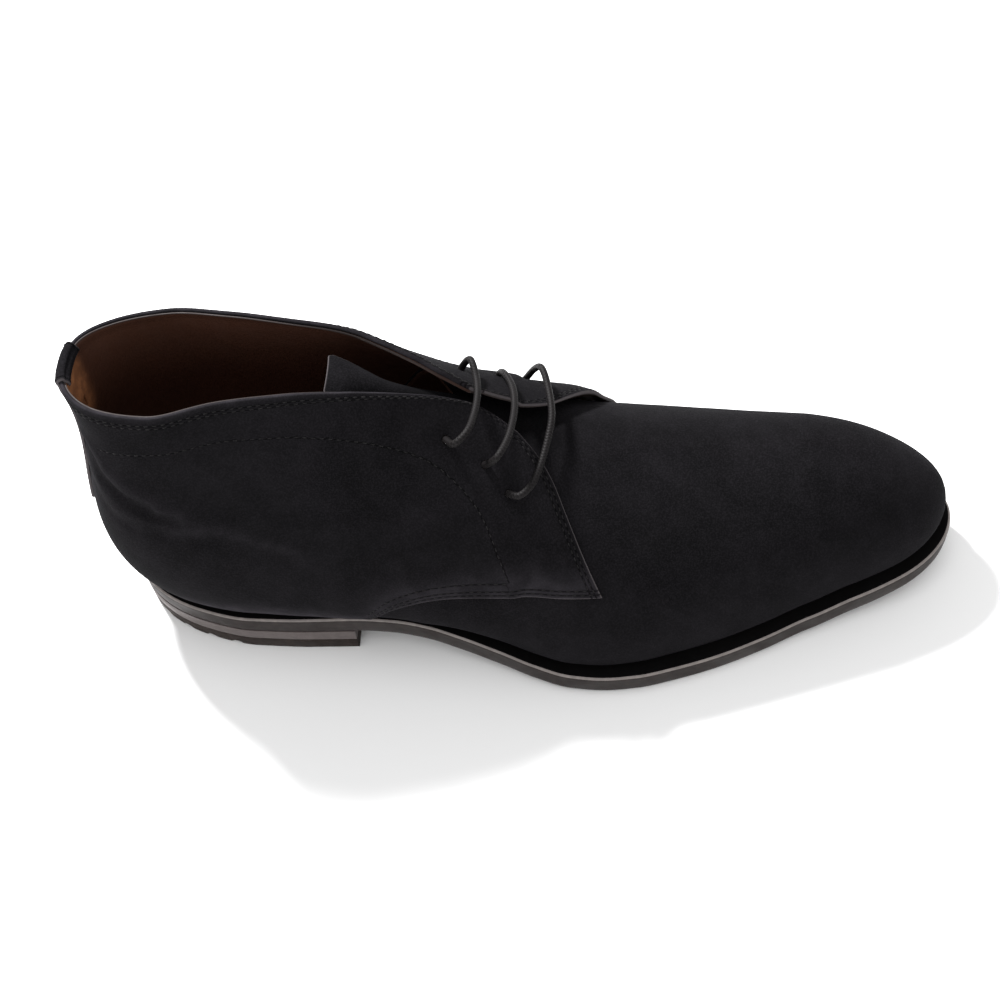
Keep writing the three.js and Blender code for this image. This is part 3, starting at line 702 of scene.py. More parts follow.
# ------------------------------------------------------------------ shader node groups
def new_group(name, inputs, outputs):
    """An empty shader group with named number sockets, and its two end nodes."""
    group = bpy.data.node_groups.new(name, "ShaderNodeTree")
    kind = "NodeSocketFloat"
    for label, value in inputs.items():
        socket = group.interface.new_socket(label, in_out="INPUT", socket_type=kind)
        socket.default_value = value
    for label in outputs:
        group.interface.new_socket(label, in_out="OUTPUT", socket_type=kind)
    return group, group.nodes.new("NodeGroupInput"), group.nodes.new("NodeGroupOutput")


def add_node(tree, kind, settings=None, **inputs):
    """A node with its settings made and its inputs set to values or linked to sockets."""
    node = tree.nodes.new(kind)
    for key, value in (settings or {}).items():
        setattr(node, key, value)
    for key, value in inputs.items():
        socket = node.inputs[int(key[1:])] if key[0] == "i" and key[1:].isdigit() else node.inputs[key]
        if isinstance(value, bpy.types.NodeSocket):
            tree.links.new(value, socket)
        else:
            socket.default_value = value
    return node


def arithmetic(tree, operation, first, second=0.0, clamp=True):
    """One Math node between values or sockets, clamped to 0 and 1 unless told otherwise."""
    settings = {"operation": operation, "use_clamp": clamp}
    return add_node(tree, "ShaderNodeMath", settings, i0=first, i1=second).outputs[0]


def stretched(tree, value, low, high, to_low, to_high, curve="SMOOTHSTEP"):
    """A value mapped so that low becomes to_low and high becomes to_high."""
    limits = {"From Min": low, "From Max": high, "To Min": to_low, "To Max": to_high}
    settings = {"interpolation_type": curve}
    return add_node(tree, "ShaderNodeMapRange", settings, Value=value, **limits).outputs[0]


def point_value(tree, name):
    """The number that each point of the piece carries under a name."""
    return add_node(tree, "ShaderNodeAttribute", {"attribute_name": name}).outputs["Fac"]


def noise_mask(tree, vector, scale, detail, low, high, distortion=0.0):
    """Noise of the given scale per metre, stretched so that low becomes 0 and high 1."""
    noise = add_node(
        tree, "ShaderNodeTexNoise", Vector=vector, Scale=scale, Detail=detail, Distortion=distortion
    )
    return stretched(tree, noise.outputs[0], low, high, 0.0, 1.0)


def mottle_group():
    """Cloudy mask in three sizes, for nap, wax and wear: large clouds, patches and specks."""
    group, start, end = new_group(
        "Mottle", {"Large": 30.0, "Small": 400.0}, ("Clouds", "Patches", "Specks")
    )
    place_at = add_node(group, "ShaderNodeTexCoord").outputs["Object"]
    clouds = noise_mask(group, place_at, start.outputs["Large"], 3.0, 0.35, 0.68, 0.6)
    middle = arithmetic(group, "MULTIPLY", start.outputs["Large"], 5.0, clamp=False)
    patches = noise_mask(group, place_at, middle, 4.0, 0.36, 0.66, 0.3)
    specks = noise_mask(group, place_at, start.outputs["Small"], 2.0, 0.4, 0.68)
    for label, socket in (("Clouds", clouds), ("Patches", patches), ("Specks", specks)):
        group.links.new(socket, end.inputs[label])
    return group


def fibre_group():
    """Fine height for a Bump: crossed noises for fibres, and soft dents under them."""
    group, start, end = new_group(
        "Fibre", {"Fine": 2500.0, "Coarse": 300.0, "Coarse share": 0.5}, ("Height",)
    )
    place_at = add_node(group, "ShaderNodeTexCoord").outputs["Object"]
    fine, coarse = (
        add_node(
            group, "ShaderNodeTexNoise", Vector=place_at, Scale=start.outputs[name], Detail=detail
        )
        for name, detail in (("Fine", 3.0), ("Coarse", 2.0))
    )
    height = add_node(
        group, "ShaderNodeMix", {"data_type": "FLOAT"}, Factor=start.outputs["Coarse share"],
        i2=fine.outputs[0], i3=coarse.outputs[0],
    ).outputs[0]
    group.links.new(height, end.inputs["Height"])
    return group


def near_edge_group():
    """Mask that is 1 on a cut edge and fades over a width, from the piece's edge distances."""
    group, start, end = new_group("NearEdge", {"Width": 0.4}, ("Mask",))
    mask = stretched(group, point_value(group, "edge"), 0.0, start.outputs["Width"], 1.0, 0.0)
    group.links.new(mask, end.inputs["Mask"])
    return group


def seam_row_group():
    """Mask of two rows of stitches: 1 where a distance equals the row's, 0 past a half width."""
    group, start, end = new_group(
        "SeamRow", {"Distance": FAR, "First": 0.0, "Second": 0.0, "Half width": 0.5}, ("Mask",)
    )
    masks = []
    for row in ("First", "Second"):
        distance, centre = start.outputs["Distance"], start.outputs[row]
        gap = arithmetic(group, "SUBTRACT", distance, centre, clamp=False)
        away = arithmetic(group, "ABSOLUTE", gap, clamp=False)
        masks.append(stretched(group, away, 0.0, start.outputs["Half width"], 1.0, 0.0))
    group.links.new(arithmetic(group, "MAXIMUM", *masks), end.inputs["Mask"])
    return group


GROUP_MAKERS = {
    "Mottle": mottle_group,
    "Fibre": fibre_group,
    "NearEdge": near_edge_group,
    "SeamRow": seam_row_group,
}


def use_group(tree, name, **inputs):
    """Places a shared group in a material's tree, making the group the first time."""
    group = bpy.data.node_groups.get(name) or GROUP_MAKERS[name]()
    node = tree.nodes.new("ShaderNodeGroup")
    node.node_tree = group
    for key, value in inputs.items():
        node.inputs[key.replace("_", " ")].default_value = value
    return node.outputs


def new_material(name, colour, roughness, **sockets):
    """A material with a Principled shader whose plain sockets are set, and its node tree."""
    material = bpy.data.materials.new(name)
    material.use_nodes = True
    tree = material.node_tree
    shader = tree.nodes["Principled BSDF"]
    shader.inputs["Base Color"].default_value = (*colour, 1)
    shader.inputs["Roughness"].default_value = roughness
    for key, value in sockets.items():
        shader.inputs[key.replace("_", " ")].default_value = value
    material.diffuse_color = (*colour, 1)
    return material, tree, shader


def blend_colour(tree, factor, first, second):
    """Colour between two colours or sockets, by a mask."""
    node = add_node(tree, "ShaderNodeMix", {"data_type": "RGBA"}, Factor=factor)
    for index, value in ((6, first), (7, second)):
        if isinstance(value, bpy.types.NodeSocket):
            tree.links.new(value, node.inputs[index])
        else:
            node.inputs[index].default_value = (*value, 1)
    return node.outputs[2]


def bump_into(tree, shader, height, strength, distance_mm):
    """Feeds a height to the shader's normal through a Bump node."""
    bump = add_node(
        tree, "ShaderNodeBump", Height=height, Strength=strength, Distance=distance_mm * MM
    )
    tree.links.new(bump.outputs[0], shader.inputs["Normal"])


def seam_mask(tree):
    """Mask of all rows of stitches on a piece, from its distances to edges and seams."""
    total = None
    rows = (
        ("front", *FRONT_ROWS), ("lower", *LOWER_ROWS), ("upper", UPPER_ROW, UPPER_ROW),
        ("rim", *COLLAR_ROWS), ("seam", 0.0, 0.0),
    )
    for name, first, second in rows:
        mask = use_group(tree, "SeamRow", First=first, Second=second, Half_width=0.55)["Mask"]
        tree.links.new(point_value(tree, name), mask.node.inputs["Distance"])
        if name == "seam":
            mask = arithmetic(tree, "MULTIPLY", mask, point_value(tree, "sewn"))
        total = mask if total is None else arithmetic(tree, "MAXIMUM", total, mask)
    return total


def once(maker):
    """Wraps a maker of materials, whose first argument is a name, so that each is made once."""

    @functools.wraps(maker)
    def get(name, *settings):
        return bpy.data.materials.get(name) or maker(name, *settings)

    return get


@once
def suede_material(name, colours):
    """Napped suede: dark, sheeny, cloudy where brushed, paler along cut edges and the welt,
    and pulled in along its rows of stitches."""
    material, tree, shader = new_material(
        name, colours.suede, 0.95, Sheen_Weight=0.012, Sheen_Roughness=0.5,
        Sheen_Tint=(0.8, 0.78, 0.88, 1), Specular_IOR_Level=0.03,
    )
    mottle = use_group(tree, "Mottle", Large=24.0, Small=1700.0)
    uneven = arithmetic(tree, "ADD", arithmetic(tree, "MULTIPLY", mottle["Patches"], 0.35), 0.45)
    # The paler colour mixes random paler nap (clouds, patches, specks) with painted sheen and
    # highlights carried per point.
    nap = arithmetic(tree, "MULTIPLY", point_value(tree, "low"), uneven)
    for mask, share in (("Clouds", 0.045), ("Patches", 0.03), ("Specks", 0.085)):
        nap = arithmetic(tree, "ADD", nap, arithmetic(tree, "MULTIPLY", mottle[mask], share))
    colour = blend_colour(tree, nap, colours.suede, colours.suede_pale_and_sheen)
    edge = use_group(tree, "NearEdge", Width=0.7)["Mask"]
    colour = blend_colour(tree, arithmetic(tree, "MULTIPLY", edge, 0.8), colour, colours.raw_edge)
    sewn = seam_mask(tree)
    shade = [0.3 * c for c in colours.suede]
    colour = blend_colour(tree, arithmetic(tree, "MULTIPLY", sewn, 0.8), colour, shade)
    # Painted shade: a per-point mask darkens the suede where shade falls, in the slot under the facings
    # and on the tongue.
    colour = blend_colour(tree, point_value(tree, "painted_shade"), colour, shade)
    tree.links.new(colour, shader.inputs["Base Color"])
    fibre = use_group(tree, "Fibre", Fine=2600.0, Coarse=800.0, Coarse_share=0.5)["Height"]
    fibre = arithmetic(tree, "MULTIPLY", fibre, 0.5)
    flat = arithmetic(tree, "SUBTRACT", 0.5, arithmetic(tree, "MULTIPLY", sewn, 0.5))
    bump_into(tree, shader, arithmetic(tree, "ADD", fibre, flat), 0.8, 0.7)
    return material


@once
def lining_material(name, colours):
    """Smooth tan calf, darkened inside, rubbed pale behind the heel, with a pale cut edge."""
    material, tree, shader = new_material(name, colours.lining, 0.55, Specular_IOR_Level=0.2)
    mottle = use_group(tree, "Mottle", Large=45.0, Small=500.0)
    uneven = arithmetic(tree, "ADD", arithmetic(tree, "MULTIPLY", mottle["Patches"], 0.5), 0.5)
    # Painted light: a pool of light on the inner heel, broken up by random patches.
    lit_share = arithmetic(tree, "MULTIPLY", point_value(tree, "lit_patch"), uneven)
    dark = [0.5 * c for c in colours.lining]
    # Painted shade: the lining darker inside towards the toe, mixed with random clouds.
    clouds = arithmetic(tree, "MULTIPLY", mottle["Clouds"], 0.25)
    stain_and_shade = arithmetic(tree, "ADD", clouds, point_value(tree, "forward"))
    colour = blend_colour(tree, stain_and_shade, colours.lining, dark)
    colour = blend_colour(tree, lit_share, colour, colours.lining_lit_patch)
    edge = use_group(tree, "NearEdge", Width=1.5)["Mask"]
    colour = blend_colour(tree, edge, colour, colours.lining_edge)
    tree.links.new(colour, shader.inputs["Base Color"])
    rough = stretched(tree, mottle["Patches"], 0.0, 1.0, 0.48, 0.66, "LINEAR")
    tree.links.new(rough, shader.inputs["Roughness"])
    fibre = use_group(tree, "Fibre", Fine=900.0, Coarse=260.0, Coarse_share=0.6)["Height"]
    bump_into(tree, shader, fibre, 0.3, 0.3)
    return material


@once
def leather_edge_material(name, colour, roughness, scuff, paler_by=1.7, shine=0.2):
    """Waxed leather: satin, with paler scuffs in streaks and fine grain."""
    material, tree, shader = new_material(name, colour, roughness, Specular_IOR_Level=shine)
    mottle = use_group(tree, "Mottle", Large=60.0, Small=700.0)
    wear = arithmetic(tree, "MULTIPLY", mottle["Patches"], scuff)
    specks = arithmetic(tree, "MULTIPLY", mottle["Specks"], scuff * 0.6)
    wear = arithmetic(tree, "ADD", wear, specks)
    paler = [min(1.0, paler_by * c) for c in colour]
    tree.links.new(blend_colour(tree, wear, colour, paler), shader.inputs["Base Color"])
    rough = stretched(
        tree, mottle["Clouds"], 0.0, 1.0, roughness * 0.85, min(1.0, roughness * 1.25), "LINEAR"
    )
    tree.links.new(rough, shader.inputs["Roughness"])
    fibre = use_group(tree, "Fibre", Fine=1500.0, Coarse=350.0, Coarse_share=0.5)["Height"]
    bump_into(tree, shader, fibre, 0.25, 0.15)
    return material


@once
def cord_material(name, colour, turns, tilt, roughness, depth_mm):
    """Twisted or braided cord: two crossed sets of strands over the piece's own UV map."""
    material, tree, shader = new_material(name, colour, roughness, Specular_IOR_Level=0.12)
    uv = add_node(tree, "ShaderNodeUVMap", {"uv_map": "UVMap"}).outputs[0]
    split = add_node(tree, "ShaderNodeSeparateXYZ", Vector=uv)
    strands = []
    for sign in (-1.0, 1.0):
        along = arithmetic(tree, "MULTIPLY", split.outputs[0], tilt, clamp=False)
        around = arithmetic(tree, "MULTIPLY", split.outputs[1], sign * turns, clamp=False)
        both = arithmetic(tree, "ADD", along, around, clamp=False)
        turn = arithmetic(tree, "MULTIPLY", both, 2 * math.pi, clamp=False)
        strands.append(arithmetic(tree, "SINE", turn, clamp=False))
    crest = arithmetic(tree, "MAXIMUM", *strands, clamp=False)
    height = stretched(tree, crest, -1.0, 1.0, 0.0, 1.0, "LINEAR")
    paler = [min(1.0, 3.0 * c) for c in colour]
    lit = arithmetic(tree, "MULTIPLY", arithmetic(tree, "POWER", height, 6.0), 0.7)
    tree.links.new(blend_colour(tree, lit, colour, paler), shader.inputs["Base Color"])
    bump_into(tree, shader, height, 0.7, depth_mm)
    return material


@once
def thread_material(name, colours):
    """Sewing thread: plain dark filament with a slight shine."""
    material, tree, shader = new_material(name, colours.thread, 0.6, Specular_IOR_Level=0.1)
    mottle = use_group(tree, "Mottle", Large=200.0, Small=3000.0)
    paler = [2.2 * c for c in colours.thread]
    tree.links.new(
        blend_colour(tree, mottle["Patches"], colours.thread, paler), shader.inputs["Base Color"]
    )
    fibre = use_group(tree, "Fibre", Fine=6000.0, Coarse=3000.0, Coarse_share=0.5)["Height"]
    bump_into(tree, shader, fibre, 0.3, 0.05)
    return material


# ------------------------------------------------------------------ pieces
def plan_loop(belt, side, inset, z):
    """Grid of points at an inset from the outline, each at its own height z."""
    x, y = plan_point(belt, side, inset)
    return np.stack(np.broadcast_arrays(x, y, z), -1)


def closed_over(edges, across):
    """Straight rows over the top and under the bottom, between the edges of both sides.

    A row runs from one side to the other as (1 - t) of the first point plus t of the second.
    """
    t = np.linspace(0, 1, across)[1:-1][None, :, None]
    over = edges[-1][:, -1:] * (1 - t) + edges[1][:, -1:] * t
    under = edges[1][:, :1] * (1 - t) + edges[-1][:, :1] * t
    return t, over, under


def slab_points(belt, low, high, profile, across=14):
    """Grid of loops of a slab between heights low(station) and high(station).

    The edge runs through the (share of height, inset) rows of the profile, and the top and
    underside are straight rows across.
    """
    belt = np.asarray(belt, float)[:, None]
    station = station_at(belt)
    share, inset = np.array(profile, float).T[:, None]
    bottom, top = low(station), high(station)
    height = bottom + (top - bottom) * share
    edges = {side: plan_loop(belt, side, inset, height) for side in (-1, 1)}
    _, over, under = closed_over(edges, across)
    return np.concatenate([edges[-1], over, edges[1][:, ::-1], under], axis=1)


def slab_faces(rows, edge_rows, across=14, cap_end=False):
    """Quads of slab_points, with the front face closed row by row if cap_end is set."""
    cols = 2 * edge_rows + 2 * (across - 2)
    faces = [grid_faces(rows, cols, wrap=True)]
    if cap_end:
        first = (rows - 1) * cols
        middle = np.arange(across - 2)
        top = np.concatenate([[edge_rows - 1], edge_rows + middle, [edge_rows + across - 2]])
        medial = edge_rows + across - 2 + np.arange(edge_rows)
        under = np.concatenate([[0], cols - 1 - middle, [medial[-1]]])
        j = np.arange(across - 1)
        faces.append(first + np.stack([under[j], under[j + 1], top[j + 1], top[j]], -1))
    return np.concatenate(faces)


def even_belts(count, last=1.0):
    """Belt values from the back of the heel to the last one, evenly spread."""
    return np.linspace(0, last, count)


def make_outsole(sizes, colours):
    """Leather sole under the welt, with a softly rounded waxed edge."""
    material = leather_edge_material("SoleEdge", colours.sole_edge, 0.5, 0.5)
    profile = ((0, 1.2), (0.06, 0.75), (0.2, 0.5), (0.5, 0.32), (0.8, 0.24), (0.97, 0.2), (1, 0.2))
    belt = even_belts(260)
    points = slab_points(
        belt, sole["under"], lambda s: sole["edge"](s) - WELT_THICK - 0.01, profile
    )
    faces = slab_faces(len(belt), len(profile))
    piece = mesh_piece("sole_outsole", points, faces, material, ("outsole",))
    sharpen(piece, 40)


def make_heel(sizes, colours):
    """Stacked leather lift and rubber top piece, whose rear lower edge is notched."""
    lift = leather_edge_material("HeelLift", colours.heel_lift, 0.5, 0.4, 1.35, 0.3)
    rubber = leather_edge_material("HeelRubber", colours.rubber, 0.7, 0.6, 1.9)
    low, high = (np.array(corner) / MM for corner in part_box("heel_top_piece"))
    top_piece = high[2] - low[2]
    belt = even_belts(150, belt_at(HEEL_BREAST))
    profile = ((0, 0.5), (0.08, 0.35), (0.5, 0.3), (0.92, 0.35), (1, 0.5))
    points = slab_points(
        belt, lambda s: top_piece + 0.05 + 0 * s, lambda s: sole["under"](s) - 0.05, profile
    )
    faces = slab_faces(len(belt), len(profile), cap_end=True)
    piece = mesh_piece("heel_stacked_lift", points, faces, lift, ("heel_lift",))
    sharpen(piece, 35)

    profile = ((0, 0.9), (0.03, 0.65), (0.1, 0.5), (0.35, 0.4), (0.7, 0.35), (0.95, 0.35), (1, 0.5))
    points = slab_points(belt, lambda s: 0 * s, lambda s: top_piece + 0 * s, profile, across=22)
    x, y = points[..., 0] - 42, points[..., 1]
    turn = np.degrees(np.arctan2(y, -x))
    notches = np.zeros(turn.shape)
    for centre in (-88, -70, -52, -34, -17, 0, 17, 34, 52, 70, 88):
        notches = np.maximum(notches, np.exp(-(((turn - centre) * np.pi / 180 * 33 / 1.7) ** 4)))
    rim = ramp(np.hypot(x, y), 24, 31)
    low_part = 1 - ramp(points[..., 2], 0.5, 1.7)
    points[..., 2] += 1.2 * notches * rim * low_part
    faces = slab_faces(len(belt), len(profile), across=22, cap_end=True)
    piece = mesh_piece("heel_rubber", points, faces, rubber, ("heel_top_piece",))
    sharpen(piece, 35)


def make_welt(sizes, colours):
    """Welt ring: black top, satin rounded outer edge that catches the light."""
    edge_material = leather_edge_material("SoleEdge", colours.sole_edge, 0.5, 0.5)
    bevel_highlight_material = leather_edge_material("WeltBevel", colours.welt_bevel, 0.4, 0.5, 1.5, 0.4)
    top_material = leather_edge_material("WeltTop", colours.welt_top, 0.85, 0.3, 1.7, 0.04)
    belt = even_belts(300)
    profile = (
        (0.0, 0.2), (0.12, 0.18), (0.5, 0.14), (0.66, 0.16), (0.76, 0.24), (0.9, 0.62),
        (0.98, 1.05), (1.0, 1.4),
    )
    rings = []
    b = belt[:, None]
    station = station_at(b)
    share, inset = np.array(profile).T[:, None]
    height = sole["edge"](station)
    for side in (-1, 1):
        outer = plan_loop(b, side, inset, height - WELT_THICK * (1 - share))
        deep = sole["welt"](station) + recess(station) + 2.2
        reach = np.linspace(0, 1, 5)[None, 1:]
        top = plan_loop(b, side, profile[-1][1] + (deep - profile[-1][1]) * reach, height)
        low = plan_loop(b, side, deep, height - WELT_THICK)
        ring = np.concatenate([outer, top, low], axis=1)
        rings.append(ring if side < 0 else ring[::-1])
    loops = np.concatenate([rings[0], rings[1][1:]], axis=0)
    faces = grid_faces(loops.shape[0], loops.shape[1], wrap=True)
    piece = mesh_piece("welt_ring", loops, faces, edge_material, ("welt",))
    piece.data.materials.append(bevel_highlight_material)
    piece.data.materials.append(top_material)
    # Faces sorted by how far they turn up: the upward bevel takes the painted highlight, the flat top
    # the black of dye and painted shade.
    normals = np.empty(3 * len(piece.data.polygons), np.float32)
    piece.data.polygons.foreach_get("normal", normals)
    heights = normals[2::3]
    slots = (heights > 0.3).astype(np.int32) + (heights > 0.93)
    piece.data.polygons.foreach_set("material_index", slots)
    piece.data.update()
    sharpen(piece, 50)


def make_insole(sizes, colours):
    """Sock lining on the insole, dished slightly at the heel."""
    material = lining_material("Lining", colours)
    belt = even_belts(120)[:, None]
    station = station_at(belt)
    inset = sole["welt"](station) + recess(station) + 2.9
    height, extra = np.array(((-WELT_THICK + 0.2, 0), (1.6, 0), (2.1, 0.35), (2.2, 1.2))).T
    edges = {
        side: plan_loop(belt, side, inset + extra, sole["edge"](station) + height)
        for side in (-1, 1)
    }
    t, over, under = closed_over(edges, 24)
    dish = 1.0 * (1 - ramp(station[..., None], 20, 90))
    over[..., 2:] -= dish * 4 * t * (1 - t)
    loops = np.concatenate([edges[-1], over, edges[1][:, ::-1], under], axis=1)
    faces = grid_faces(loops.shape[0], loops.shape[1], wrap=True)
    zero = np.zeros(loops.shape[:2])
    piece = mesh_piece(
        "insole_sock", loops, faces, material, ("insole",),
        {"edge": zero + FAR, "lit_patch": zero},
    )
    sharpen(piece, 60)


def vamp_patch(side):
    """Belt and level over one half of the vamp: its back edge lies hidden under the quarter."""
    low = tuple((station, 0.0) for station in station_at(np.linspace(belt_at(84.0), 1, 9)))
    high = tuple((station, 1.0) for station in station_at(np.linspace(belt_at(138.0), 1, 9)))
    hidden = ((84, 0.0), (97, 0.3), (108, 0.52), (122, 0.78), (138, 1.0))
    bottom, top = chain(low, side), chain(high, side)
    back = chain(hidden, side)
    toe = lambda v: np.stack(np.broadcast_arrays(1.0, v), -1)
    return lambda u, v: coons(bottom, top, back, toe, u, v)


def sunken(belt, level):
    """How deep the vamp dips towards the tongue under the lacing slot, in mm."""
    station = station_at(belt)
    return 5.0 * (1 - ramp(station, 150, 176)) * ramp(level, 0.7, 0.97)


def vamp_point(belt, level, side, out):
    """The vamp's skin, closed over the slot and dipped there to the tongue's depth."""
    point = lifted(belt, level, side, out)
    station = station_at(belt)
    opening = topline["open"](station) + topline["spring"](station) * (side > 0)
    opening = opening * (1 - ramp(station, 150, 158)) * ramp(level, 0.8, 1)
    point[..., 1] -= side * opening
    point[..., 2] -= sunken(belt, level)
    ridge = level >= 1
    point[..., 1] = np.where(ridge, outline["axis"](station), point[..., 1])
    return point


def vamp_halves(rows, half, surfaces):
    """Grids over both halves of the vamp, joined along the ridge into one sheet each.

    The surfaces function gives its grids from belt, level and side.
    """
    u = np.linspace(0, 1, rows)[:, None] + np.zeros((1, half))
    v = np.linspace(0, 1, half)[None, :] + np.zeros((rows, 1))
    halves = []
    for side in (-1, 1):
        chart = vamp_patch(side)(u, v)
        belt, level = np.clip(chart[..., 0], 0, 1), np.clip(chart[..., 1], 0, 1)
        level[:, -1] = 1
        level[:, 0] = 0
        belt[-1] = 1
        halves.append(surfaces(belt, level, side))
    return [np.concatenate([one, two[:, ::-1][:, 1:]], axis=1) for one, two in zip(*halves)]


def make_vamp(sizes, colours):
    """One piece of suede over toe and instep, from the welt up over the ridge and down again."""
    material = suede_material("Suede", colours)

    def surfaces(belt, level, side):
        station = station_at(belt)
        # Painted sheen: paler bands just above the welt, at the toe and behind the instep.
        low = 0.5 * np.exp(-level * 58 / 1.6) * ramp(station, 215, 270)
        low += 0.25 * np.exp(-level * 58 / 4) * (1 - ramp(station, 130, 180))
        outer = vamp_point(belt, level, side, 0.0)
        inner = vamp_point(belt, level, side, -sizes.vamp_wall)
        # Painted shadow: the vamp is darkened in the slot, where the facings shade it.
        painted_shade = 0.7 * ramp(level, 0.82, 0.97) * (1 - ramp(station, 160, 180))
        return outer, inner, low, painted_shade

    outer, inner, low, painted_shade = vamp_halves(190, 62, surfaces)
    points, faces = layer_mesh(outer, inner, cap_end=False)
    values = {"edge": doubled(FAR + 0 * low), "low": doubled(low), "painted_shade": doubled(painted_shade)}
    mesh_piece("vamp_suede", points, faces, material, ("upper",), values)


def quarter_grid(side, rows, cols):
    """Belt, level, share forwards and distances in mm from the front, top and bottom edges.

    The grid covers a quarter, with close rows along its cut edges.
    """
    where, across, upward = PATCHES[side]
    guide = np.linspace(0, 1, rows + 2 * len(CUT_STEPS))
    even = np.linspace(0, 1, cols + 2 * len(CUT_STEPS))
    u = spaced(rows, across(even), CUT_STEPS, CUT_STEPS).T
    v = spaced(cols, upward(guide), CUT_STEPS, CUT_STEPS)
    chart = np.clip(where(u, v), 0, 1)
    wide, tall = across(v), upward(u)
    return chart[..., 0], chart[..., 1], u, (1 - u) * wide, (1 - v) * tall, v * tall


def quarter_out(belt, level, side):
    """Relief of a quarter above its own wall: facing lift, wrinkles and dimpled eyelets."""
    station = station_at(belt)
    relief = facing(belt, level, side) + creased(belt, level, side)
    for at, height in EYELETS[side]:
        span = np.hypot(station - at, (level - height) * DIMPLE_RIB)
        relief = relief - DIMPLE_DEPTH * np.exp(-((span / DIMPLE_WIDTH) ** 2))
    return relief


def rim_faces(top):
    """Outer and inner face of a quarter near the collar, in mm from its own skin.

    The suede is folded over there: both faces bend round a half circle to the very rim, and
    further down they part into the quarter's own wall.
    """
    bend = rounded(top, RIM_RADIUS)
    outer = bend * (RIM_RADIUS + FOLD_SWELL * ramp(top, RIM_RADIUS, 4.5))
    inner = bend * (-RIM_RADIUS + (RIM_RADIUS + 0.1) * ramp(top, 1.5, 5))
    return outer, inner


def seam_distance(belt, level, side):
    """Signed distance of each point from the lining's row of stitches, positive above it."""
    curve = chain(LINING_SEAM, side)(np.linspace(0, 1, 90))
    line = skin(curve[:, 0], curve[:, 1], side)
    points = skin(belt, level, side)
    gap = points[..., None, :] - line
    far = np.linalg.norm(gap, axis=-1)
    nearest = far.argmin(-1)
    direction = np.gradient(line, axis=0)[nearest]
    _, normal, _, _ = frame_at(curve[:, 0], curve[:, 1], side)
    up = np.cross(direction, normal[nearest]) * side
    offset = np.take_along_axis(gap, nearest[..., None, None].repeat(3, -1), -2)[..., 0, :]
    distance = far.min(-1)
    ended = ((nearest == 0) | (nearest == len(line) - 1)) & (distance > 1.5)
    signed = distance * np.sign((offset * up).sum(-1))
    return np.where(ended, FAR, np.clip(signed, -FAR, FAR))


def make_quarters(sizes, colours):
    """Two suede quarters laid over the vamp: folded at the collar, cut along the other edges."""
    material = suede_material("Suede", colours)
    pale_streak_line = np.array(PALE_STREAK)
    for side, name, node in (
        (-1, "quarter_outer", "quarter_lateral"),
        (1, "quarter_inner", "quarter_medial"),
    ):
        belt, level, u, front, top, bottom = quarter_grid(side, 165, 82)
        breast = chain_share_at_breast(side)
        lower = np.where(u > breast, bottom, FAR)
        edge = np.minimum(front, lower)
        relief = quarter_out(belt, level, side)
        crown = rounded(edge, 0.55)
        outer, inner = rim_faces(top)
        thick = sizes.quarter_wall / 1.15
        outer = lifted(belt, level, side, outer * thick * (0.3 + 0.7 * crown) + relief)
        inner = lifted(belt, level, side, inner + 0.12 * (1 - crown) + relief)
        for surface in (outer, inner):
            surface[..., 1] = np.where(u <= 0, side * 0.05, surface[..., 1])
        station = station_at(belt)
        # Painted sheen and highlights: a paler band above the lower edge, strongest low on the outer
        # heel, a painted highlight along the folded rim and on the crease ridges, and a paler streak
        # along the heel line.
        low_heel_sheen = ramp(station, 6, 22) * (1 - 0.55 * ramp(station, 70, 100)) * (side < 0)
        ridge_highlight = np.clip(creased(belt, level, side) / 0.5, 0, 1)
        low = 0.15 * np.exp(-bottom / 5) + 0.7 * low_heel_sheen * np.exp(-((np.maximum(bottom - 4, 0) / 7) ** 2))
        low += 0.5 * np.exp(-top / 0.8) + 0.14 * ridge_highlight
        streak = (level - np.interp(station, pale_streak_line[:, 0], pale_streak_line[:, 1])) * 118
        fade = ramp(station, 26, 40) * (1 - ramp(station, 70, 84)) * (side < 0)
        low += 0.13 * fade * np.exp(-((streak / 2.8) ** 2))
        points, faces = layer_mesh(outer, inner)
        values = {
            "edge": doubled(edge), "low": doubled(low), "front": doubled(front),
            "rim": doubled(top), "lower": doubled(np.where(u > breast - 0.02, bottom, FAR)),
            "seam": doubled(seam_distance(belt, level, side)), "sewn": doubled(np.ones(level.shape)),
            "upper": doubled(np.where((station < LINING_SEAM[-1][0]) & (u > breast), bottom, FAR)),
        }
        piece = mesh_piece(name, points, faces, material, (node,), values)
        punch_eyelets(piece, side)
        sharpen(piece, 55)


def eyelet_frames(side):
    """Centre and outward normal of each eyelet on a quarter's surface, in mm."""
    spots = np.array(EYELETS[side], float)
    belt, level = belt_at(spots[:, 0]), spots[:, 1]
    point, normal, _, _ = frame_at(belt, level, side)
    out = 1.2 + quarter_out(belt, level, side) - recess(spots[:, 0])
    return point + normal * out[:, None], normal


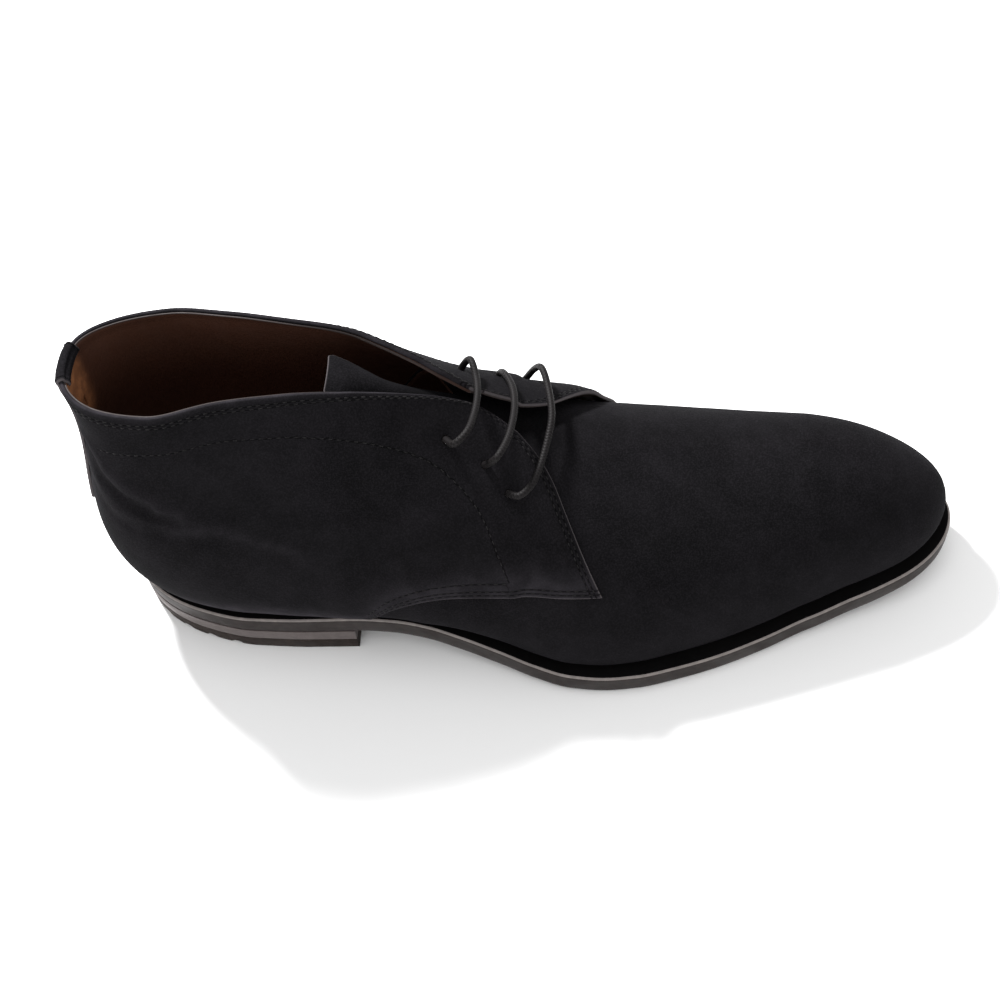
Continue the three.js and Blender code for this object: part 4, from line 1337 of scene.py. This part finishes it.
def punch_eyelets(piece, side):
    """Cuts the round lace holes right through a quarter."""
    centres, normals = eyelet_frames(side)
    cutter = bmesh.new()
    for centre, normal in zip(centres, normals):
        matrix = np.eye(4)
        matrix[:3, :3] = vector_turn(normal)
        matrix[:3, 3] = place(centre)
        made = bmesh.ops.create_cone(
            cutter, cap_ends=True, segments=28, depth=7 * MM,
            radius1=EYELET_RADIUS * MM, radius2=EYELET_RADIUS * MM,
        )
        bmesh.ops.transform(cutter, matrix=Matrix(matrix.tolist()), verts=made["verts"])
    mesh = bpy.data.meshes.new("eyelet_punch")
    cutter.to_mesh(mesh)
    cutter.free()
    punch = bpy.data.objects.new("eyelet_punch", mesh)
    bpy.context.scene.collection.objects.link(punch)
    cut = piece.modifiers.new("eyelets", "BOOLEAN")
    cut.operation = "DIFFERENCE"
    cut.solver = "EXACT"
    cut.object = punch
    bake_modifiers(piece)
    bpy.data.objects.remove(punch)
    bpy.data.meshes.remove(mesh)


def vector_turn(normal):
    """Turn that brings Z onto the given direction, as a 3 by 3 array of columns."""
    across = np.cross((0, 0, 1), normal)
    across /= np.linalg.norm(across)
    return np.stack([across, np.cross(normal, across), normal], -1)


def bake_modifiers(piece):
    """Replaces a piece's mesh by what its modifiers make of it."""
    graph = bpy.context.evaluated_depsgraph_get()
    graph.update()
    baked = bpy.data.meshes.new_from_object(piece.evaluated_get(graph))
    old = piece.data
    piece.modifiers.clear()
    piece.data = baked
    bpy.data.meshes.remove(old)
    baked.name = piece.name


def make_lining(sizes, colours):
    """Calf lining inside each quarter, whose cut edge shows along the collar and facings,
    and the vamp's own lining down to the toe."""
    material = lining_material("Lining", colours)
    for side, name in ((-1, "lining_outer"), (1, "lining_inner")):
        belt, level, u, front, top, bottom = quarter_grid(side, 110, 60)
        lower = np.where(u > chain_share_at_breast(side), bottom, FAR)
        relief = quarter_out(belt, level, side)
        over_vamp = (1 - ramp(front, 6, 16)) * (1 - ramp(level, 0.9, 0.99))
        thin = np.maximum(over_vamp, 1 - ramp(lower, 5, 8.9))
        _, fold = rim_faces(np.maximum(top, 0.8))
        face = np.minimum(fold - 0.03, 0.08)
        outer = lifted(belt, level, side, face + relief)
        inner = lifted(belt, level, side, face - 0.1 - (1 - thin) * (sizes.lining_wall - 0.3) + relief)
        for surface in (outer, inner):
            surface[..., 2] -= 0.75 * np.exp(-top / 1.5) * (level > 0.5)
            surface[..., 1] = np.where(u <= 0, side * 0.02, surface[..., 1])
        # Painted light: the patch lit high inside the heel.
        around = np.hypot((inner[..., 0] - 7) * 1.3, (inner[..., 1] + 4.5) * 0.8)
        lit_patch = (1 - ramp(around, 5, 11)) * ramp(inner[..., 2], 86, 106)
        # Painted shade: the quarter linings darker towards the toe.
        forward = 0.65 * ramp(station_at(belt), 55, 118)
        points, faces = layer_mesh(outer, inner)
        edge = np.minimum(front, np.minimum(top, lower))
        values = {"edge": doubled(edge), "lit_patch": doubled(lit_patch), "forward": doubled(forward)}
        mesh_piece(name, points, faces, material, (), values)

    depth = sizes.vamp_wall + 0.1
    outer, inner = vamp_halves(100, 34, lambda belt, level, side: (
        vamp_point(belt, level, side, -depth),
        vamp_point(belt, level, side, -depth - sizes.lining_wall),
    ))
    points, faces = layer_mesh(outer, inner, cap_end=False)
    zero = np.zeros(outer.shape[:2])
    # Painted shade: the vamp's lining is darkened all over.
    values = {"edge": doubled(zero + FAR), "lit_patch": doubled(zero), "forward": doubled(zero + 1)}
    mesh_piece("lining_vamp", points, faces, material, (), values)


def tongue_point(station, t, out):
    """Tongue: it sinks below the slot's edges at its middle and its edges drop as t squared."""
    crown = topline["top"](station) - tongue_shape["sunk"](station)
    y = outline["axis"](station) + t * tongue_shape["half"](station)
    z = crown - tongue_shape["drop"](station) * t * t + out
    return np.stack(np.broadcast_arrays(station + 0 * t, y, z), -1)


def make_tongue(sizes, colours):
    """Suede tongue under the slot, with a cut end inside the collar."""
    material = suede_material("Suede", colours)
    along = spaced(60, 66, CUT_STEPS, CUT_STEPS)[:, None]
    station = TONGUE_END + (158 - TONGUE_END) * along
    t = (2 * spaced(30, 22, CUT_STEPS, CUT_STEPS) - 1)[None, :]
    start = station - TONGUE_END
    edge = np.minimum(start, (1 - np.abs(t)) * 11)
    crown = rounded(edge, 0.6)
    hollow = 0.8 * (1 - ramp(start, 0, 14))
    corner = 1.6 * ramp(np.abs(t), 0.75, 1) ** 2
    back = station + (hollow * (1 - t * t) + corner) * (1 - ramp(start, 0, 12))
    outer = tongue_point(back, t, 0.6 * crown - 0.6)
    inner = tongue_point(back, t, -1.2 - 0.6 * crown)
    points, faces = layer_mesh(outer, inner)
    zero = np.zeros(outer.shape[:2])
    # Painted shade: the tongue is darkened towards its front, deep under the slot.
    painted_shade = 0.8 * ramp(start, 14, 34) + zero
    values = {"edge": doubled(edge + zero), "low": doubled(zero), "painted_shade": doubled(painted_shade)}
    mesh_piece("tongue_suede", points, faces, material, ("tongue",), values)


def strip_point(across, path, out):
    """Back strip: the path runs up outside, over the collar in a half circle and down inside.

    path from 0 to 1 climbs the outside, 1 to 2 turns over the collar, and 2 to 3 goes down
    inside. across from -1 to 1 is the share of the strip's half width, and out is outwards.
    """
    side = np.where(across < 0, -1, 1)
    climb, turn, inside = np.clip(path, 0, 1), np.clip(path - 1, 0, 1), np.clip(path - 2, 0, 1)
    level = 0.43 + 0.57 * climb - 0.028 * inside
    half_belt = 0.0285 + 0.004 * (1 - climb) ** 2
    point, normal, _, _ = frame_at(np.abs(across) * half_belt, level, side)
    wall = RIM_RADIUS + FOLD_SWELL * (1 - ramp(level, 0.955, 0.994))
    lining = 0.65 * ramp(inside, 0, 0.6)
    angle = np.pi * turn
    reach = np.where(turn < 0.5, wall, RIM_RADIUS + lining) + 0.08 + out
    point = point + normal * (reach * np.cos(angle) - recess(0.0))[..., None]
    point[..., 2] += (RIM_RADIUS * 0.35 + 0.08 + out) * np.sin(angle)
    return point


def make_back_strip(sizes, colours):
    """Suede strip sewn over the back seam and folded over the collar."""
    material = suede_material("Suede", colours)
    across = 2 * spaced(22, 2 * STRIP_HALF, CUT_STEPS, CUT_STEPS) - 1
    length = 66.0
    climb = spaced(60, length, CUT_STEPS, (0, 0.5, 1, 1.6, 2.4, 3.5))
    path = np.concatenate([climb, 1 + np.linspace(0, 1, 16)[1:], 2 + np.linspace(0, 1, 10)[1:]])
    a, p = np.meshgrid(across, path)
    sides = (1 - np.abs(a)) * STRIP_HALF
    ends_gap = np.minimum(
        np.where(p < 1, p * length, FAR), np.where(p > 2, (3 - p) * 3, FAR)
    )
    edge = np.minimum(sides, ends_gap)
    crown = rounded(edge, 0.5)
    outer = strip_point(a, p, sizes.strip_wall * (0.25 + 0.75 * crown))
    inner = strip_point(a, p, 0.0 * a)
    points, faces = layer_mesh(outer, inner)
    values = {
        "edge": doubled(edge), "low": doubled(0 * edge), "seam": doubled(sides - STRIP_ROW),
        "sewn": doubled(0 * edge + 1),
    }
    mesh_piece("back_strip_suede", points, faces, material, ("back_strip",), values)


# ------------------------------------------------------------------ lace
def smooth_path(points, count):
    """Even points along a soft curve through the given ones: centripetal four-point cubics."""
    p = np.asarray(points, float)
    p = np.concatenate([[2 * p[0] - p[1]], p, [2 * p[-1] - p[-2]]])
    knots = np.concatenate([[0], np.cumsum(np.linalg.norm(np.diff(p, axis=0), axis=1) ** 0.5)])
    fine = np.linspace(knots[1], knots[-2], 4000)
    i = np.clip(np.searchsorted(knots, fine, side="right") - 1, 1, len(p) - 3)
    t0, t1, t2, t3 = (knots[i + k][:, None] for k in (-1, 0, 1, 2))
    p0, p1, p2, p3 = (p[i + k] for k in (-1, 0, 1, 2))
    t = fine[:, None]
    a1 = (t1 - t) / (t1 - t0) * p0 + (t - t0) / (t1 - t0) * p1
    a2 = (t2 - t) / (t2 - t1) * p1 + (t - t1) / (t2 - t1) * p2
    a3 = (t3 - t) / (t3 - t2) * p2 + (t - t2) / (t3 - t2) * p3
    b1 = (t2 - t) / (t2 - t0) * a1 + (t - t0) / (t2 - t0) * a2
    b2 = (t3 - t) / (t3 - t1) * a2 + (t - t1) / (t3 - t1) * a3
    line = (t2 - t) / (t2 - t1) * b1 + (t - t1) / (t2 - t1) * b2
    length = run_along(line)
    even = np.linspace(0, length[-1], count)
    return np.stack([np.interp(even, length, line[:, k]) for k in range(3)], -1), length[-1]


def tube(line, radius, sides):
    """Loops of a round tube about a line, closed to a dome at both ends, last point on the first.

    At each point two directions square to the line carry a circle. They start from a fixed
    direction and are turned along by projecting the last one, so the tube doesn't twist.
    """
    tangent = np.gradient(line, axis=0)
    tangent /= np.linalg.norm(tangent, axis=1, keepdims=True)
    first = np.empty_like(line)
    guide = np.cross(tangent[0], (0.3, 0.2, 1.0))
    for k, direction in enumerate(tangent):
        guide = guide - direction * (guide @ direction)
        guide /= np.linalg.norm(guide)
        first[k] = guide
    second = np.cross(tangent, first)
    angle = np.linspace(0, 2 * np.pi, sides)
    cosine, sine = np.cos(angle)[None, :, None], np.sin(angle)[None, :, None]
    circle = cosine * first[:, None] + sine * second[:, None]
    loops = line[:, None] + radius * circle
    dome = np.sin(np.linspace(0, np.pi / 2, 5))
    shrink = np.cos(np.linspace(0, np.pi / 2, 5))
    dome, shrink = radius * dome[1:, None, None], radius * shrink[1:, None, None]
    start = line[:1, None] - dome[::-1] * tangent[0] + shrink[::-1] * circle[:1]
    end = line[-1:, None] + dome * tangent[-1] + shrink * circle[-1:]
    return np.concatenate([start, loops, end])


def lace_route():
    """The lace from its hidden end inside the top outer eyelet to its hidden inner end.

    It crosses at the top, runs down inside to the next eyelet, crosses back, runs down again,
    crosses at the bottom, and its end goes back up inside to the top inner eyelet.
    """
    entry = {}
    for side in (-1, 1):
        centres, normals = eyelet_frames(side)
        entry[side] = [(c + 0.6 * n, c - 2.6 * n) for c, n in zip(centres, normals)]
    crossings = []
    for k, bar in enumerate(LACE_CROSSINGS):
        outer_gate, outer_deep = entry[-1][k]
        inner_gate, inner_deep = entry[1][k]
        crossings.append([outer_deep, outer_gate, *bar, inner_gate, inner_deep])
    deep = lambda side, k: np.array(entry[side][k][1])
    route = [deep(-1, 0) + (-5, 1, -1.5)]
    route += crossings[0]
    route += [(deep(1, 0) + deep(1, 1)) / 2 + (0, -1.2, -1.2)]
    route += crossings[1][::-1]
    route += [(deep(-1, 1) + deep(-1, 2)) / 2 + (0, 1.2, -1.2)]
    route += crossings[2]
    route += [deep(1, 2) + (-4, -2, 3), deep(1, 1) + (-3, -2, 0), deep(1, 0) + (-1, -1, -1.5)]
    return np.array([np.asarray(point, float) for point in route])


def make_lace(sizes, colours):
    """One round waxed lace, through all eyelets and over the slot."""
    material = cord_material("Lace", colours.lace, 4.0, 0.9, 0.55, 0.12)
    line, length = smooth_path(lace_route(), 620)
    loops = tube(line, sizes.lace / 2, TUBE_SIDES + 1)
    run, angle = np.linspace(0, length, len(loops)), np.linspace(0, 1, TUBE_SIDES + 1)
    uv = np.stack(np.broadcast_arrays(run[:, None], angle[None, :]), -1)
    faces = grid_faces(len(loops), TUBE_SIDES + 1)
    nodes = ("lace_bar_1", "lace_bar_2", "lace_bar_3")
    return mesh_piece("lace_cord", loops, faces, material, nodes, uv=uv)


# ------------------------------------------------------------------ stitches
def capsule(length, thick):
    """A small stitch along X: rings whose radius follows a flattened half circle."""
    along = np.array((-1, -0.92, -0.55, 0, 0.55, 0.92, 1.0))
    swell = np.array((0.0, 0.55, 0.95, 1.0, 0.95, 0.55, 0.0))
    along, swell = along[:, None], swell[:, None] * thick / 2
    angle = np.linspace(0, 2 * np.pi, 6, endpoint=False)[None, :]
    dip = np.abs(along) ** 3 * thick * 0.35
    x, y, z = along * length / 2, swell * np.cos(angle), swell * np.sin(angle) - dip
    return np.stack(np.broadcast_arrays(x, y, z), -1)


def stitch_row(points, normals, sizes):
    """Places stitches evenly along a line of points with outward normals."""
    run = run_along(points)
    count = max(int(run[-1] / sizes.stitch_pitch), 1)
    centre = (np.arange(count) + 0.5) * run[-1] / count
    at = lambda values, s: np.stack([np.interp(s, run, values[:, k]) for k in range(3)], -1)
    here = at(points, centre)
    after, before = np.clip(centre + 0.5, 0, run[-1]), np.clip(centre - 0.5, 0, run[-1])
    ahead = at(points, after) - at(points, before)
    ahead /= np.linalg.norm(ahead, axis=1, keepdims=True)
    normal = at(normals, centre)
    normal -= ahead * (normal * ahead).sum(1, keepdims=True)
    normal /= np.linalg.norm(normal, axis=1, keepdims=True)
    across = np.cross(normal, ahead)
    base = capsule(sizes.stitch, sizes.thread)
    axes = np.stack([ahead, across, normal], axis=1)
    return here[:, None, None] + np.einsum("ijk,nkd->nijd", base, axes)


def quarter_line(side, u, v, out):
    """Points and normals along a line of a quarter's patch, at a height above its surface."""
    where, _, upward = PATCHES[side]
    u, v = np.asarray(u, float), np.asarray(v, float)
    chart = where(u, v)
    belt, level = np.clip(chart[:, 0], 0, 1), np.clip(chart[:, 1], 0, 1)
    outer, _ = rim_faces((1 - v) * upward(u))
    return quarter_surface(side, belt, level, out + outer - RIM_RADIUS - FOLD_SWELL)


def quarter_surface(side, belt, level, out):
    """Points and normals on a quarter's outer face for belt and level values."""
    point, normal, _, _ = frame_at(belt, level, side)
    height = RIM_RADIUS + FOLD_SWELL + quarter_out(belt, level, side) + out
    height = height - recess(station_at(belt))
    return point + normal * np.asarray(height)[:, None], normal


def quarter_rows(side):
    """Lines of every row of stitches on one quarter."""
    _, across, upward = PATCHES[side]
    length, height = float(across(0.0)), float(upward(1.0))
    rows = []
    for inset, lower in zip(FRONT_ROWS, LOWER_ROWS):
        v = np.linspace(lower / height, 0.985, 400)
        rows.append((1 - inset / across(v), v))
        u = np.linspace(chain_share_at_breast(side), 1 - inset / length, 300)
        rows.append((u, lower / upward(u)))
    u = np.linspace(chain_share_at_breast(side), upper_row_end(side), 300)
    rows.append((u, UPPER_ROW / upward(u)))
    for inset in COLLAR_ROWS:
        u = np.linspace(0.058, 0.985, 400)
        rows.append((u, 1 - inset / upward(u)))
    return rows


def upper_row_end(side):
    """Share along the lower edge where the upper row meets the lining's row."""
    where, _, upward = PATCHES[side]
    u = np.linspace(0.3, 1, 400)
    chart = where(u, UPPER_ROW / upward(u))
    return float(u[np.argmin(np.abs(station_at(chart[:, 0]) - LINING_SEAM[-1][0]))])


def chain_share_at_breast(side):
    """Share of the patch's bottom edge at which the quarter leaves the welt."""
    where = PATCHES[side][0]
    u = np.linspace(0, 1, 801)
    level = where(u, np.zeros_like(u))[:, 1]
    return float(u[np.argmax(level > 0.03)])


def make_stitches(sizes, colours):
    """All sewing: doubled rows along the edges, the lining's row and the strip's two."""
    material = thread_material("Thread", colours)
    for side, name in ((-1, "stitches_outer"), (1, "stitches_inner")):
        rows = [quarter_line(side, u, v, -THREAD_SUNK) for u, v in quarter_rows(side)]
        curve = chain(LINING_SEAM, side)(np.linspace(0, 1, 400))
        rows.append(quarter_surface(side, curve[:, 0], curve[:, 1], -THREAD_SUNK))
        join_stitches(name, [stitch_row(p, n, sizes) for p, n in rows], material)
    strip = []
    path = np.concatenate([np.linspace(0.03, 1, 200), np.linspace(1, 1.35, 20)[1:]])
    for share in (STRIP_ROW / STRIP_HALF - 1, 1 - STRIP_ROW / STRIP_HALF):
        across = np.full(path.shape, share)
        points = strip_point(across, path, sizes.strip_wall - THREAD_SUNK)
        strip.append(stitch_row(points, points - strip_point(across, path, -1.0), sizes))
    join_stitches("stitches_strip", strip, material)


def join_stitches(name, rows, material):
    """Joins rows of stitches into one mesh piece."""
    placed = np.concatenate(rows)
    count, rings, sides = placed.shape[:3]
    faces = grid_faces(rings, sides, wrap=True)
    offsets = (np.arange(count) * rings * sides)[:, None, None]
    mesh_piece(name, placed, (faces[None] + offsets).reshape(-1, 4), material)


# ------------------------------------------------------------------ stage
CAMERA = {"aim": (142.9, 1.8, 40.0), "azimuth": 9.46, "elevation": 54.91, "roll": -8.67,
          "distance": 566.5, "lens": 55.72}


def make_camera():
    """Camera above the outer side, turned by its azimuth and raised by its elevation."""
    azimuth, elevation, roll = (math.radians(CAMERA[k]) for k in ("azimuth", "elevation", "roll"))
    level = math.cos(elevation)
    back = Vector((math.sin(azimuth) * level, -math.cos(azimuth) * level, math.sin(elevation)))
    right = (-back).cross(Vector((0, 0, 1))).normalized()
    up = right.cross(-back)
    turned_right = right * math.cos(roll) + up * math.sin(roll)
    turned_up = up * math.cos(roll) - right * math.sin(roll)
    data = bpy.data.cameras.new("StudioCamera")
    data.lens = CAMERA["lens"]
    data.sensor_width = 36
    data.clip_start = 0.01
    camera = bpy.data.objects.new("StudioCamera", data)
    bpy.context.scene.collection.objects.link(camera)
    where = Vector(place(CAMERA["aim"])) + back * CAMERA["distance"] * MM
    turn = Matrix((turned_right, turned_up, back)).transposed().to_4x4()
    camera.matrix_world = Matrix.Translation(where) @ turn
    bpy.context.scene.camera = camera


def area_light(name, where, aim, size, power):
    """A square soft light, in metres and watts, turned to its aim."""
    data = bpy.data.lights.new(name, "AREA")
    data.size = size
    data.energy = power
    light = bpy.data.objects.new(name, data)
    bpy.context.scene.collection.objects.link(light)
    light.location = where
    light.rotation_euler = (Vector(aim) - Vector(where)).to_track_quat("-Z", "Y").to_euler()


def make_stage(colours):
    """Pale floor, soft lights and camera."""
    bpy.ops.mesh.primitive_plane_add(size=6.0, location=(0, 0, -0.0002))
    floor = bpy.context.object
    floor.name = "StudioFloor"
    floor.data.materials.append(
        new_material("StudioFloor", colours.floor, 0.85, Specular_IOR_Level=0.1)[0]
    )
    world = bpy.data.worlds.new("StudioWorld")
    world.use_nodes = True
    background = world.node_tree.nodes["Background"]
    background.inputs[0].default_value = (1, 1, 1, 1)
    background.inputs[1].default_value = 0.68
    bpy.context.scene.world = world
    area_light("KeyLight", (-0.5, 0.55, 0.95), (0, 0, 0.05), 0.14, 28)
    area_light("TopLight", (0.1, -0.1, 1.4), (0, 0, 0.05), 0.9, 5)
    area_light("FrontLight", (-0.2, -1.1, 0.6), (0, 0, 0.05), 0.9, 3)
    bpy.context.scene.view_settings.view_transform = "Standard"
    make_camera()


# ------------------------------------------------------------------ operators and panel
def piece_operator(idname, label, doc, maker):
    """An operator class that makes one group of pieces from the scene's settings."""

    def execute(self, context):
        maker(context.scene.boot_sizes, context.scene.boot_colours)
        return {"FINISHED"}

    body = {"bl_idname": "boot." + idname, "bl_label": label, "__doc__": doc, "execute": execute}
    return type("BOOT_OT_" + idname, (bpy.types.Operator,), body)


OPERATORS = [
    piece_operator("outsole", "Outsole", "Makes the leather outsole.", make_outsole),
    piece_operator("heel", "Heel", "Makes the stacked lift and the rubber top piece.", make_heel),
    piece_operator("welt", "Welt", "Makes the welt ring.", make_welt),
    piece_operator("insole", "Insole", "Makes the sock lining on the insole.", make_insole),
    piece_operator("vamp", "Vamp", "Makes the suede vamp.", make_vamp),
    piece_operator("quarters", "Quarters", "Makes both suede quarters.", make_quarters),
    piece_operator("lining", "Lining", "Makes the calf linings.", make_lining),
    piece_operator("tongue", "Tongue", "Makes the suede tongue.", make_tongue),
    piece_operator("back_strip", "Back strip", "Makes the folded back strip.", make_back_strip),
    piece_operator("lace", "Lace", "Makes the lace through its eyelets.", make_lace),
    piece_operator("stitches", "Stitches", "Makes all rows of sewing.", make_stitches),
    piece_operator("stage", "Stage", "Makes floor, lights and camera.", lambda s, c: make_stage(c)),
]


class BOOT_PT_panel(bpy.types.Panel):
    """Lists the boot's settings and pieces."""

    bl_idname = "BOOT_PT_panel"
    bl_label = "Chukka boot"
    bl_space_type = "VIEW_3D"
    bl_region_type = "UI"
    bl_category = "Boot"

    def draw(self, context):
        for settings in (context.scene.boot_sizes, context.scene.boot_colours):
            for key in settings.bl_rna.properties.keys():
                if key not in {"rna_type", "name"}:
                    self.layout.prop(settings, key)
        for operator in OPERATORS:
            self.layout.operator(operator.bl_idname)


CLASSES = [BootSizes, BootColours, *OPERATORS, BOOT_PT_panel]


def register():
    """Registers the classes and hangs the settings on the scene."""
    for cls in CLASSES:
        bpy.utils.register_class(cls)
    bpy.types.Scene.boot_sizes = bpy.props.PointerProperty(type=BootSizes)
    bpy.types.Scene.boot_colours = bpy.props.PointerProperty(type=BootColours)


def unregister():
    """Takes the settings and classes away again."""
    del bpy.types.Scene.boot_colours
    del bpy.types.Scene.boot_sizes
    for cls in reversed(CLASSES):
        bpy.utils.unregister_class(cls)


def main():
    """Makes every piece in order and writes both boxes."""
    register()
    for operator in OPERATORS:
        getattr(bpy.ops.boot, operator.bl_idname.split(".")[1])()


if __name__ == "__main__":
    main()
